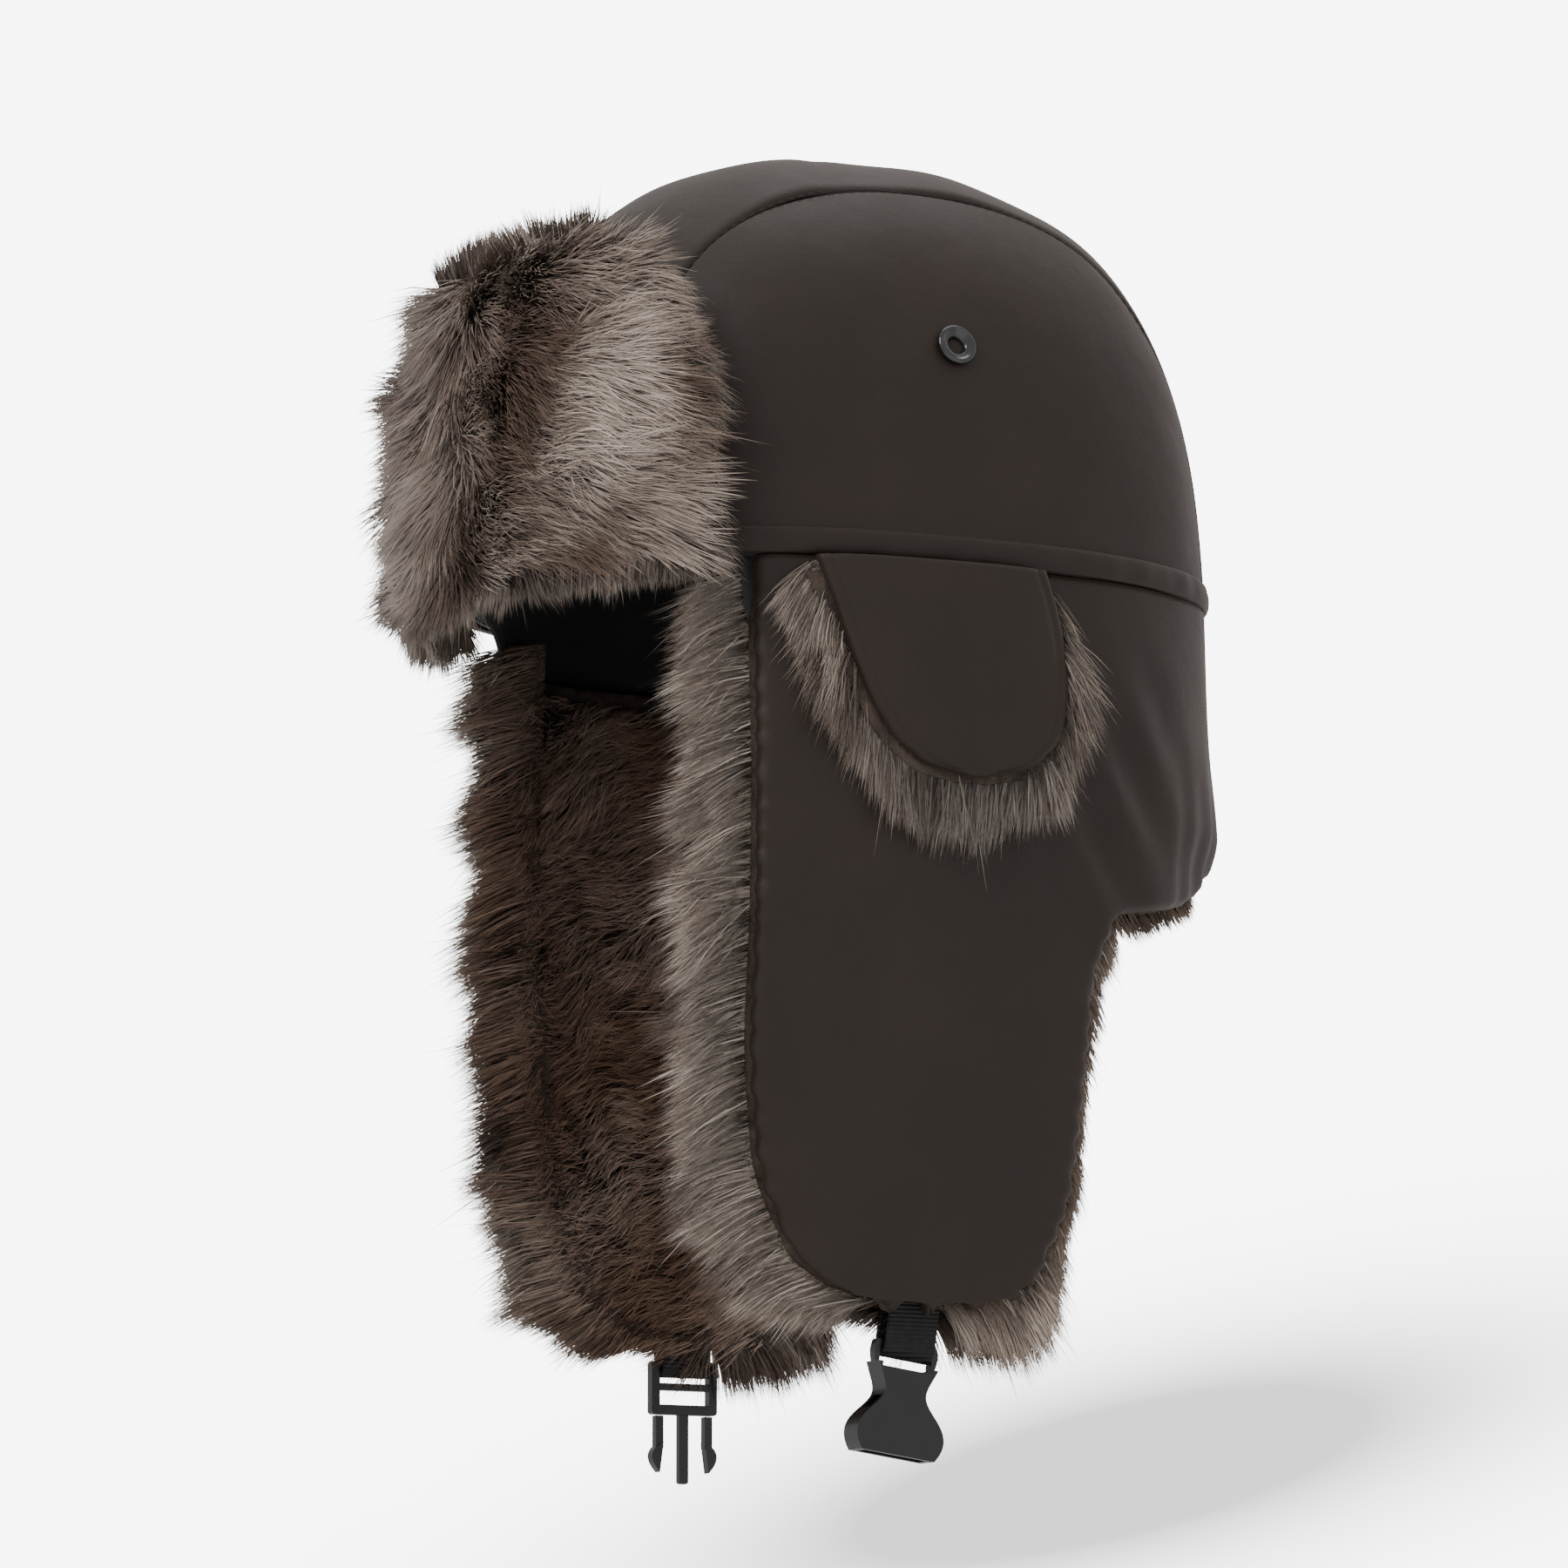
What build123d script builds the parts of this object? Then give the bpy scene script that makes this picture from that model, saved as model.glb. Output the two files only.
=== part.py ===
"""Trapper hat: a padded crown, a fur visor, ear flaps, ear covers and a chin buckle.

Millimetres.  Front is -Y, the wearer's left is +X, up is +Z.  The origin is the
middle of the head opening, level with the bottom of the band.
"""

import os
from math import cos, pi, sin

from build123d import *

os.makedirs("parts", exist_ok=True)

# Crown: the outside is |x/HALF_WIDTH|^P + |y/HALF_DEPTH|^P + |z/CROWN_HEIGHT|^P = 1.
HALF_WIDTH = 95.0
HALF_DEPTH = 113.0
CROWN_HEIGHT = 138.0
POWER = 2.5
PLAN_POINTS = 16
DOME_SECTIONS = 6
DOME_TILT = 80.0
DOME_SKIRT = -4.0
STRIP_HALF_WIDTH = 58.0

# Layers of the crown, measured in from the outside.
FABRIC = 1.4
LAYER_GAP = 0.3
PADDING_IN = 4.6
LINING_IN = 5.8
SWEATBAND_IN = 7.4
SWEATBAND_HEIGHT = 28.0
SWEATBAND_LEAN = 1.6

# Band: the sewn roll round the foot of the crown.
BAND_HEIGHT = 8.0
BAND_FOOT = 0.2
BAND_PROUD = 2.5
BAND_EDGE = 1.2
BAND_SHOULDER = 0.3
BAND_CLEAR = 0.7

# Skirt: ear sides and neck guard, down to the line where the ear flaps fold.
SKIRT_TOP = -0.4
FLARE = ((SKIRT_TOP, 0.0), (-32.0, 1.4), (-65.0, 2.6), (-104.0, 2.0))
FRONT_EDGE = -68.0
FOLD_Z = -100.0
FOLD_GAP = 2.0
FUR_FOLD_GAP = 5.0
ELASTIC_IN = (1.6, 2.6)
SKIRT_PADDING_IN = (2.8, 5.4)
FUR_IN = (5.6, 20.0)
FUR_TOP = -8.0

# Lower ear flap, which leans in towards the chin.
FLAP_TOP_OFFSET = 2.0
FLAP_FOOT_OFFSET = -12.0
FLAP_FOOT_Z = -217.0
FUR_OVERHANG = 9.0

# Ear cover: the half-round flap over the ear.
COVER_SHELL = (4.6, 7.6)
COVER_FOOT_LIFT = 5.0
COVER_FUR_OVERHANG = 8.0
COVER_FUR_START = 3.6

# Visor, folded up against the front of the crown.
VISOR_GAP = 3.8
VISOR_SHELL = 1.6
VISOR_PADDING = 4.0
VISOR_LEVELS = (-10.0, 14.0, 40.0, 66.0, 86.0, 101.0)
VISOR_FUR_OUT = (14.0, 20.0, 22.0, 23.0, 25.0, 25.0)

# Chin straps and side-release buckle.
STRAP_WIDTH = 16.0
STRAP_THICK = 1.6
STRAP_X = 74.5
STRAP_Y = -12.0
STRAP_TOP = -215.0
STRAP_PIVOT_Z = -219.0
STRAP_NOTCH = 31.0
STRAP_NOTCH_TOP = -211.0
BUCKLE_TILT = 8.0
BUCKLE_FOOT = -262.0

CUTTER = 400.0


def plan(a, b, z):
    """Flat face of the hat's rounded plan with half sizes a and b at height z."""
    points = []
    for step in range(PLAN_POINTS):
        turn = 2 * pi * step / PLAN_POINTS - pi / 2
        c, s = cos(turn), sin(turn)
        reach = (abs(c) ** POWER + abs(s) ** POWER) ** (-1 / POWER)
        points.append((a * reach * c, b * reach * s, z))
    return make_face(Spline(*points, periodic=True))


def dome(inset):
    """Solid crown shape, moved in by inset, with a short skirt below the band."""
    sections = [plan(HALF_WIDTH - inset, HALF_DEPTH - inset, DOME_SKIRT)]
    for step in range(1, DOME_SECTIONS + 1):
        tilt = DOME_TILT * step / DOME_SECTIONS * pi / 180
        reach = cos(tilt) ** (2 / POWER)
        z = (CROWN_HEIGHT - inset) * sin(tilt) ** (2 / POWER)
        sections.append(plan((HALF_WIDTH - inset) * reach, (HALF_DEPTH - inset) * reach, z))
    return loft(sections)


def column(levels):
    """Solid lofted through (z, offset) levels of the plan."""
    return loft([plan(HALF_WIDTH + out, HALF_DEPTH + out, z) for z, out in levels])


def layer(levels, outer_in, inner_in):
    """Hollow layer of a column between two depths below its outside."""
    outside = column([(z, out - outer_in) for z, out in levels])
    inside = [(z, out - inner_in) for z, out in levels]
    inside[0] = (inside[0][0] + 1, inside[0][1])
    inside[-1] = (inside[-1][0] - 1, inside[-1][1])
    return outside - column(inside)


def side_face(*edges):
    """Face in the YZ plane made of edges drawn with (y, z) points."""
    placed = [Plane.YZ * edge for edge in edges]
    return make_face([piece for curve in placed for piece in curve.edges()])


def left_of(face):
    """Everything on the wearer's left that a side outline covers."""
    return extrude(face, amount=CUTTER, dir=(1, 0, 0))


def across(face):
    """Everything on both sides that a side outline covers."""
    return extrude(face, amount=CUTTER, dir=(1, 0, 0), both=True)


def crown_point(y, z, inset=0.0):
    """Plane on the left of the crown, facing out, at a side-view place."""
    a, b, h = HALF_WIDTH - inset, HALF_DEPTH - inset, CROWN_HEIGHT - inset
    x = a * (1 - abs(y / b) ** POWER - abs(z / h) ** POWER) ** (1 / POWER)
    grade = POWER - 1
    normal = Vector((x / a) ** grade / a, abs(y / b) ** grade / b * (1 if y > 0 else -1),
                    (z / h) ** grade / h)
    return Plane(origin=(x, y, z), z_dir=normal.normalized())


def other_side(part):
    """The same piece for the wearer's right."""
    return mirror(part, about=Plane.YZ)


def save(part, name):
    """Write one node."""
    export_step(part, f"parts/{name}.step")


def save_pair(part, name):
    """Write a left piece and its mirrored right piece."""
    save(part, f"{name}_left")
    save(other_side(part), f"{name}_right")


# Crown ---------------------------------------------------------------------------

EYELET_Y = -3.0
EYELET_Z = 67.0
EYELET_FLANGE = 6.3
EYELET_BARREL = 3.4
EYELET_HOLE = 2.2
BARREL_LENGTH = 8.0
HOLE_CLEARANCE = 0.2
FLANGE_MIDDLE = 1.1
FLANGE_THICK = 1.4
DISH_MIDDLE = 1.9
DISH_FLOOR = 3.6
DISH_MOUTH = 4.8
DISH_DEPTH = 0.8
FLANGE_ROUND = 0.6
BARREL_TOP = 0.5
WASHER_THICK = 0.8
WASHER_CLEARANCE = 0.1
WASHER_DROP = 1.0
SNAP_Y = -98.0
SNAP_Z = 72.0
SNAP_RADIUS = 5.0
STUD_MIDDLE = 0.75
STUD_THICK = 0.8
STUD_POST_MIDDLE = 1.5
STUD_POST_RADIUS = 2.0
STUD_POST_HEIGHT = 1.0
SOCKET_HOLE = 2.4
SOCKET_RING = 0.9
SOCKET_DROP = 1.2
DRILL = 40.0


def eyelet_cutter():
    """Clearance hole for one eyelet barrel."""
    at = crown_point(EYELET_Y, EYELET_Z)
    return at * Cylinder(EYELET_BARREL + HOLE_CLEARANCE, DRILL)


def with_eyelet_holes(part):
    """Crown layer with the two eyelet holes cut through it."""
    hole = eyelet_cutter()
    return part - hole - other_side(hole)


def crown_layer(outer_in, inner_in):
    """One closed layer of the crown."""
    above = Box(CUTTER, CUTTER, CUTTER, align=(Align.CENTER, Align.CENTER, Align.MIN))
    return (dome(outer_in) - dome(inner_in)) & above


def make_crown():
    """Three outer panels, padding, lining and sweatband."""
    fabric = with_eyelet_holes(crown_layer(0, FABRIC))
    seam = LAYER_GAP / 2
    side_box = Box(CUTTER, CUTTER, CUTTER, align=(Align.MIN, Align.CENTER, Align.CENTER))
    left = fabric & (Pos(STRIP_HALF_WIDTH + seam, 0, 0) * side_box)
    save_pair(left, "crown_panel")
    save(fabric & Box(2 * (STRIP_HALF_WIDTH - seam), CUTTER, CUTTER), "crown_centre_strip")
    save(with_eyelet_holes(crown_layer(FABRIC + LAYER_GAP, PADDING_IN)), "crown_padding")
    save(with_eyelet_holes(crown_layer(PADDING_IN + LAYER_GAP, LINING_IN)), "crown_lining")
    band_levels = ((SWEATBAND_HEIGHT, -SWEATBAND_LEAN), (0.0, 0.0))
    sweatband = layer(band_levels, LINING_IN + 2 * LAYER_GAP, SWEATBAND_IN)
    save(sweatband, "sweatband")


def make_band():
    """Rounded roll round the foot of the crown."""
    middle = BAND_HEIGHT / 2
    shoulder = BAND_PROUD - BAND_SHOULDER
    levels = ((BAND_FOOT, BAND_EDGE), (middle / 2, shoulder), (middle, BAND_PROUD),
              (1.5 * middle, shoulder), (BAND_HEIGHT, BAND_EDGE))
    bore = column(((-1.0, BAND_CLEAR), (BAND_HEIGHT + 1, BAND_CLEAR)))
    save(column(levels) - bore, "band_roll")


def make_eyelets():
    """Dished eyelets, each closed over a washer inside the lining."""
    at = crown_point(EYELET_Y, EYELET_Z)
    flange = Pos(0, 0, FLANGE_MIDDLE) * Cylinder(EYELET_FLANGE, FLANGE_THICK)
    flange -= Pos(0, 0, DISH_MIDDLE) * Cone(DISH_FLOOR, DISH_MOUTH, DISH_DEPTH)
    rim = flange.edges().group_by(Axis.Z)[-1].sort_by(SortBy.RADIUS)[-1]
    flange = fillet(rim, FLANGE_ROUND)
    barrel = Pos(0, 0, BARREL_TOP - BARREL_LENGTH / 2) * Cylinder(EYELET_BARREL, BARREL_LENGTH)
    save_pair(at * (flange + barrel - Cylinder(EYELET_HOLE, DRILL)), "eyelet")
    washer = Cylinder(EYELET_FLANGE, WASHER_THICK)
    washer -= Cylinder(EYELET_BARREL + WASHER_CLEARANCE, DRILL)
    save_pair(at * (Pos(0, 0, -LINING_IN - WASHER_DROP) * washer), "eyelet_washer")


def make_snap_studs():
    """Snap studs that stand on the front of the crown and hold the visor up."""
    at = crown_point(SNAP_Y, SNAP_Z)
    stud = Pos(0, 0, STUD_MIDDLE) * Cylinder(SNAP_RADIUS, STUD_THICK)
    stud += Pos(0, 0, STUD_POST_MIDDLE) * Cylinder(STUD_POST_RADIUS, STUD_POST_HEIGHT)
    save_pair(at * stud, "visor_snap_stud")


# Skirt and ear flaps -------------------------------------------------------------

NECK_REAR = 140.0
NECK_CORNER = 53.0
NECK_HEM = ((78.0, -91.0), (98.0, -81.0))
NECK_HEM_REAR = -77.0
ELASTIC_LEVELS = ((-64.0, 2.6), (-74.0, 2.6))
ELASTIC_FRONT = 72.0
HEM_FUR_DROP = 2.0
FLAP_REAR_TOP = 50.0
FLAP_FRONT = ((-65.0, -160.0), (-57.0, -197.0))
FLAP_TOE = (-28.0, 12.0)
FLAP_HEEL = (34.0, -197.0)
FLAP_REAR = ((41.0, -160.0), (44.0, -118.0))
NOTCH_SIZE = 60.0


def skirt_face(front, top, foot, drop):
    """Side outline of the skirt, with the neck hem rising towards the back."""
    corner = (NECK_CORNER, foot)
    end = (NECK_REAR, NECK_HEM_REAR - drop)
    hem = Spline(corner, *[(y, z - drop) for y, z in NECK_HEM], end)
    rest = Polyline(end, (NECK_REAR, top), (front, top), (front, foot), corner)
    return side_face(hem, rest)


def make_skirt():
    """Neck guard and ear sides: fabric, elastic, padding and fur."""
    foot = FOLD_Z + FOLD_GAP
    face = across(skirt_face(FRONT_EDGE, SKIRT_TOP, foot, 0))
    save(layer(FLARE, 0, FABRIC) & face, "skirt_shell")
    save(layer(FLARE, *SKIRT_PADDING_IN) & face, "skirt_padding")
    back_half = Box(CUTTER, CUTTER, CUTTER, align=(Align.CENTER, Align.MIN, Align.CENTER))
    save(layer(ELASTIC_LEVELS, *ELASTIC_IN) & (Pos(0, ELASTIC_FRONT, 0) * back_half), "neck_elastic")
    fur_foot = FOLD_Z + FUR_FOLD_GAP
    fur = skirt_face(FRONT_EDGE - FUR_OVERHANG, FUR_TOP, fur_foot, HEM_FUR_DROP)
    save(layer(FLARE, *FUR_IN) & across(fur), "skirt_fur")


def flap_face(grow, top):
    """Side outline of the lower ear flap, spread by grow at its free edges."""
    rear = grow / 2
    start, end = (FRONT_EDGE - grow, top), (FLAP_REAR_TOP, top)
    points = [(y - grow, z) for y, z in FLAP_FRONT]
    points += [(y, FLAP_FOOT_Z - grow) for y in FLAP_TOE]
    points.append((FLAP_HEEL[0] + rear, FLAP_HEEL[1] - rear))
    points += [(y + rear, z) for y, z in FLAP_REAR]
    return side_face(Spline(start, *points, end), Line(end, start))


def make_flaps():
    """Lower ear flaps: fabric, padding and fur on the inside."""
    foot = FLAP_FOOT_Z - 2 * FUR_OVERHANG
    lean = (FLAP_FOOT_OFFSET - FLAP_TOP_OFFSET) / (FLAP_FOOT_Z - FOLD_Z)
    levels = ((FOLD_Z, FLAP_TOP_OFFSET), (foot, FLAP_TOP_OFFSET + lean * (foot - FOLD_Z)))
    face = left_of(flap_face(0, FOLD_Z - FOLD_GAP))
    fur_face = left_of(flap_face(FUR_OVERHANG, FOLD_Z - FUR_FOLD_GAP))
    below = (Align.CENTER, Align.CENTER, Align.MAX)
    notch = Pos(STRAP_X, STRAP_Y, STRAP_NOTCH_TOP) * Box(NOTCH_SIZE, STRAP_NOTCH, NOTCH_SIZE, align=below)
    save_pair(layer(levels, 0, FABRIC) & face, "flap_shell")
    save_pair((layer(levels, *SKIRT_PADDING_IN) & face) - notch, "flap_padding")
    save_pair((layer(levels, *FUR_IN) & fur_face) - notch, "flap_fur")


# Ear covers ----------------------------------------------------------------------

COVER_TOP = -1.2
COVER_FOOT = -64.0
COVER_FRONT_TOP = -54.0
COVER_REAR_TOP = 20.5
COVER_FRONT = (-44.0, -32.0)
COVER_REAR = (26.0, -30.0)
COVER_LOW = (-28.0, 16.0, -54.0)
COVER_MIDDLE = -8.0
COVER_FUR_TOP = -6.0
COVER_FUR_CLEAR = 0.2


def cover_face(grow, top):
    """Side outline of an ear cover, spread by grow at its free edge."""
    start, end = (COVER_FRONT_TOP - grow / 2, top), (COVER_REAR_TOP + grow / 2, top)
    low_front, low_rear, low = COVER_LOW
    edge = Spline(start, (COVER_FRONT[0] - grow, COVER_FRONT[1]), (low_front - grow, low - grow / 2),
                  (COVER_MIDDLE, COVER_FOOT - grow), (low_rear + grow, low - grow / 2),
                  (COVER_REAR[0] + grow, COVER_REAR[1]), end)
    return side_face(edge, Line(end, start))


def make_ear_covers():
    """Ear covers: a fabric half round over a thin pad of fur."""
    foot = COVER_FOOT - 2 * COVER_FUR_OVERHANG
    outer = ((0.0, 0.0), (foot, COVER_FOOT_LIFT))
    shell = layer(outer, -COVER_SHELL[1], -COVER_SHELL[0])
    save_pair(shell & left_of(cover_face(0, COVER_TOP)), "ear_cover_shell")
    over_fur = column([(z, out + COVER_SHELL[0] - COVER_FUR_CLEAR) for z, out in outer])
    fur = over_fur - column(((1.0, COVER_FUR_START), (foot - 1, COVER_FUR_START)))
    save_pair(fur & left_of(cover_face(COVER_FUR_OVERHANG, COVER_FUR_TOP)), "ear_cover_fur")


# Visor ---------------------------------------------------------------------------

VISOR_END = -89.0
VISOR_FOOT = -8.0
VISOR_TOP = 98.0
VISOR_CORNER = 14.0
VISOR_CUT_WIDTH = 200.0
VISOR_LEAN = -3.0
VISOR_FUR_OVERHANG = 4.0


def visor_reach(z):
    """Width factor of the crown at a height."""
    return (1 - (max(z, 0) / CROWN_HEIGHT) ** POWER) ** (1 / POWER)


def visor_column(extras):
    """Solid that stands off the crown by one distance at each visor level."""
    sections = []
    for z, extra in zip(VISOR_LEVELS, extras):
        reach = visor_reach(z)
        sections.append(plan(HALF_WIDTH * reach + extra, HALF_DEPTH * reach + extra, z))
    return loft(sections)


def visor_face(grow):
    """Side outline of the visor, spread by grow."""
    height = VISOR_TOP - VISOR_FOOT + 2 * grow
    middle = (VISOR_TOP + VISOR_FOOT) / 2
    leaning = Rot(0, 0, VISOR_LEAN) * RectangleRounded(VISOR_CUT_WIDTH, height, VISOR_CORNER)
    return Plane.YZ * (Pos(VISOR_END + grow - VISOR_CUT_WIDTH / 2, middle) * leaning)


def level(distance):
    """The same stand-off at every visor level."""
    return [distance] * len(VISOR_LEVELS)


def make_visor():
    """Visor: fabric against the crown, padding, then fur on the outside."""
    shell_out = VISOR_GAP + VISOR_SHELL
    padding_out = shell_out + VISOR_PADDING
    face = across(visor_face(0))
    inner = visor_column(level(VISOR_GAP))
    save((visor_column(level(shell_out)) - inner) & face, "visor_shell")
    pad_core = visor_column(level(shell_out + LAYER_GAP))
    save((visor_column(level(padding_out)) - pad_core) & face, "visor_padding")
    fur_core = visor_column(level(padding_out + LAYER_GAP))
    save((visor_column(VISOR_FUR_OUT) - fur_core) & across(visor_face(VISOR_FUR_OVERHANG)), "visor_fur")
    at = crown_point(SNAP_Y, SNAP_Z)
    socket = Cylinder(SNAP_RADIUS, SOCKET_RING) - Cylinder(SOCKET_HOLE, DRILL)
    save_pair(at * (Pos(0, 0, VISOR_GAP - SOCKET_DROP) * socket), "visor_snap_socket")


# Straps and buckle ---------------------------------------------------------------

SOCKET_WIDTH = 24.0
SOCKET_THICK = 8.6
SOCKET_TOP = -229.0
SLOT_HEIGHT = 3.0
FRAME_WIDTH = 22.5
FRAME_TOP = -224.0
FRAME_HEIGHT = 16.5
FRAME_THICK = 3.4
ARM_Y = 8.4
ARM_WIDTH = 2.6
ARM_LENGTH = 17.5
PRONG_WIDTH = 3.2
PRONG_THICK = 2.4
PRONG_ROUND = 0.8
BAR_ROOM = 2.3
LEFT_BAR_DROP = 0.9
RIGHT_BAR_DROP = 1.2
SOCKET_WAIST = 6.8
SOCKET_SHOULDER = 10.0
SHOULDER_TAPER = 0.4
SOCKET_STEPS = (7.0, 15.0, 22.0)
MOUTH_THICK = 5.2
MOUTH_WIDTH = 20.6
MOUTH_MIDDLE = 8.0
MOUTH_HEIGHT = 18.0
BAR_THICK = 3.0
BAR_HEIGHT = 13.0
BAR_TO_SLOT = 1.8
THROUGH = 20.0
FRAME_ROUND = 1.2
FRAME_SLOT_DROPS = (4.6, 11.2)
FRAME_SLOT = 4.4
ARM_THICK = 2.8
ARM_STEM = 10.0
ARM_ROOT_DROP = 0.3
LEAF_IN = 1.3
LEAF_OUT = 2.6
LEAF_TOP = 8.0
LEAF_WIDEST = 11.5
LEAF_HALF_THICK = 1.7


def webbing(foot):
    """Strap from inside the flap's hem, round the buckle bar at foot and back up."""
    length = STRAP_TOP - foot
    outer = SlotCenterToCenter(length, 2 * (BAR_ROOM + STRAP_THICK), rotation=90)
    inner = SlotCenterToCenter(length, 2 * BAR_ROOM, rotation=90)
    loop = extrude(Plane.XZ * (outer - inner), amount=STRAP_WIDTH / 2, both=True)
    keep = Pos(0, 0, -length / 2) * Box(THROUGH, 2 * THROUGH, 2 * length)
    return Pos(STRAP_X, STRAP_Y, foot + length / 2) * (loop & keep)


def buckle_outline():
    """Side-view outline of the buckle socket, waisted above its mouth."""
    wide = SOCKET_WIDTH / 2
    high, middle, low = [SOCKET_TOP - step for step in SOCKET_STEPS]
    half = [(SOCKET_SHOULDER, SOCKET_TOP), (SOCKET_SHOULDER - SHOULDER_TAPER, high),
            (SOCKET_WAIST, middle), (wide, low), (wide, BUCKLE_FOOT)]
    other = [(-y, z) for y, z in half]
    return side_face(Spline(*half), Spline(*other), Line(half[0], other[0]), Line(half[-1], other[-1]))


def tilt_left(part):
    """Turn the left strap set a little forward about its pivot."""
    pivot = Pos(0, STRAP_Y, STRAP_PIVOT_Z)
    return pivot * Rot(-BUCKLE_TILT, 0, 0) * pivot.inverse() * part


def make_left_strap():
    """Left strap with the buckle socket, open at its mouth."""
    body = extrude(buckle_outline(), amount=SOCKET_THICK / 2, dir=(1, 0, 0), both=True)
    mouth = Pos(0, 0, BUCKLE_FOOT + MOUTH_MIDDLE) * Box(MOUTH_THICK, MOUTH_WIDTH, MOUTH_HEIGHT)
    slot_middle = SOCKET_TOP - BAR_TO_SLOT - SLOT_HEIGHT
    slot = Pos(0, 0, slot_middle) * Box(THROUGH, STRAP_WIDTH + 1, 2 * SLOT_HEIGHT)
    bar_space = Pos(0, 0, SOCKET_TOP) * Box(SOCKET_THICK, 3 * SOCKET_WIDTH, BAR_HEIGHT)
    bar = Pos(0, 0, SOCKET_TOP) * Box(BAR_THICK, 3 * SOCKET_WIDTH, BAR_HEIGHT)
    socket = Pos(STRAP_X, STRAP_Y, 0) * (body - mouth - slot - (bar_space - bar))
    save(tilt_left(socket), "buckle_socket")
    save(tilt_left(webbing(SOCKET_TOP - LEFT_BAR_DROP)), "strap_left")


def make_right_strap():
    """Right strap with the buckle plug: frame, prong and two spring arms."""
    centre = Pos(-STRAP_X, STRAP_Y, 0)
    foot = FRAME_TOP - FRAME_HEIGHT
    frame = Pos(0, 0, FRAME_TOP - FRAME_HEIGHT / 2) * Box(FRAME_THICK, FRAME_WIDTH, FRAME_HEIGHT)
    frame = fillet(frame.edges().filter_by(Axis.X), FRAME_ROUND)
    for drop in FRAME_SLOT_DROPS:
        frame -= Pos(0, 0, FRAME_TOP - drop) * Box(THROUGH, STRAP_WIDTH + 1, FRAME_SLOT)
    prong_length = foot - BUCKLE_FOOT
    prong = Pos(0, 0, foot - prong_length / 2 + 0.2) * Box(PRONG_THICK, PRONG_WIDTH, prong_length)
    prong = fillet(prong.edges().group_by(Axis.Z)[0], PRONG_ROUND)
    save(centre * (frame + prong), "buckle_plug")
    save(other_side(webbing(FRAME_TOP - RIGHT_BAR_DROP)), "strap_right")
    for name, side in (("front", -1), ("rear", 1)):
        save(centre * plug_arm(side, foot), f"buckle_arm_{name}")


def plug_arm(side, foot):
    """One spring arm with its leaf-shaped catch."""
    root = foot - ARM_ROOT_DROP
    stem = Pos(0, side * ARM_Y, root - ARM_STEM / 2) * Box(ARM_THICK, ARM_WIDTH, ARM_STEM)
    tip = (side * ARM_Y, root - ARM_LENGTH)
    top = (side * (ARM_Y - LEAF_IN), root - LEAF_TOP)
    widest = (side * (ARM_Y + LEAF_OUT), root - LEAF_WIDEST)
    leaf = side_face(Spline(top, widest, tip), Line(tip, top))
    return stem + extrude(leaf, amount=LEAF_HALF_THICK, dir=(1, 0, 0), both=True)


make_crown()
make_band()
make_eyelets()
make_snap_studs()
make_skirt()
make_flaps()
make_ear_covers()
make_visor()
make_left_strap()
make_right_strap()
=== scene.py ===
import math
import bmesh
import bpy
import numpy as np
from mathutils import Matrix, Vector
from mathutils.kdtree import KDTree


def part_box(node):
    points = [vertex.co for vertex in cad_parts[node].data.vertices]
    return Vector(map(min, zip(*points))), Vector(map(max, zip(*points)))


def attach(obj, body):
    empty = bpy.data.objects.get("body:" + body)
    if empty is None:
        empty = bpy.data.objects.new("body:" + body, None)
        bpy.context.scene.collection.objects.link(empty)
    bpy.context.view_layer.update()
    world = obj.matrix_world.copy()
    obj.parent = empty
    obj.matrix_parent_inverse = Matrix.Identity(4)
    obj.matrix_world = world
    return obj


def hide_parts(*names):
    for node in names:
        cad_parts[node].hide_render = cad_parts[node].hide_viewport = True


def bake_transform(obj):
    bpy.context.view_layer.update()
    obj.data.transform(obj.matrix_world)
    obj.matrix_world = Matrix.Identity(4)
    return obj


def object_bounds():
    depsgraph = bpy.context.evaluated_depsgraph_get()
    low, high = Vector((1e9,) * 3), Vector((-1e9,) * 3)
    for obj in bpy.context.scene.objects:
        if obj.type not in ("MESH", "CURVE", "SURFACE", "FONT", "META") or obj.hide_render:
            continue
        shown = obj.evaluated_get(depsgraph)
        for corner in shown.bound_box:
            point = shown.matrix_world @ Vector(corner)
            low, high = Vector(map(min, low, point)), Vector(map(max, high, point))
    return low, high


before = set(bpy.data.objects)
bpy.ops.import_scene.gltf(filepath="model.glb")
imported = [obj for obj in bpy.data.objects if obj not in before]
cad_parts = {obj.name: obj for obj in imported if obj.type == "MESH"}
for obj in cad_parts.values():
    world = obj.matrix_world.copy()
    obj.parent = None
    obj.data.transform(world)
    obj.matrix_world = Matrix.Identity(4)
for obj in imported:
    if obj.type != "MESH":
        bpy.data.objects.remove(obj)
CAD_BOX = [list(map(float, corner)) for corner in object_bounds()]
MM = 0.001
P = 2.5                                    # power of the hat's rounded plan and profile
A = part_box("crown_panel_left")[1][0]       # crown half width
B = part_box("crown_centre_strip")[1][1]     # crown half depth
CROWN_REACH = 0.9878    # share of its nominal height that the CAD crown reaches
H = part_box("crown_centre_strip")[1][2] / CROWN_REACH
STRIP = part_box("crown_panel_left")[0][0]    # half width of the centre strip
BAND_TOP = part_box("band_roll")[1][2]
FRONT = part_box("skirt_shell")[0][1]    # front edge of the skirt
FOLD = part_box("skirt_shell")[0][2] - 2 * MM
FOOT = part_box("flap_shell_left")[0][2] + 3 * MM
FLAP_LEAN = 14.0 * MM
NECK_CORNER = 50 * MM    # y where the flap ends and the neck guard starts
FLAP_COLS = 61    # grid columns across a flap
STRAP_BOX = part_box("strap_left")
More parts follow.
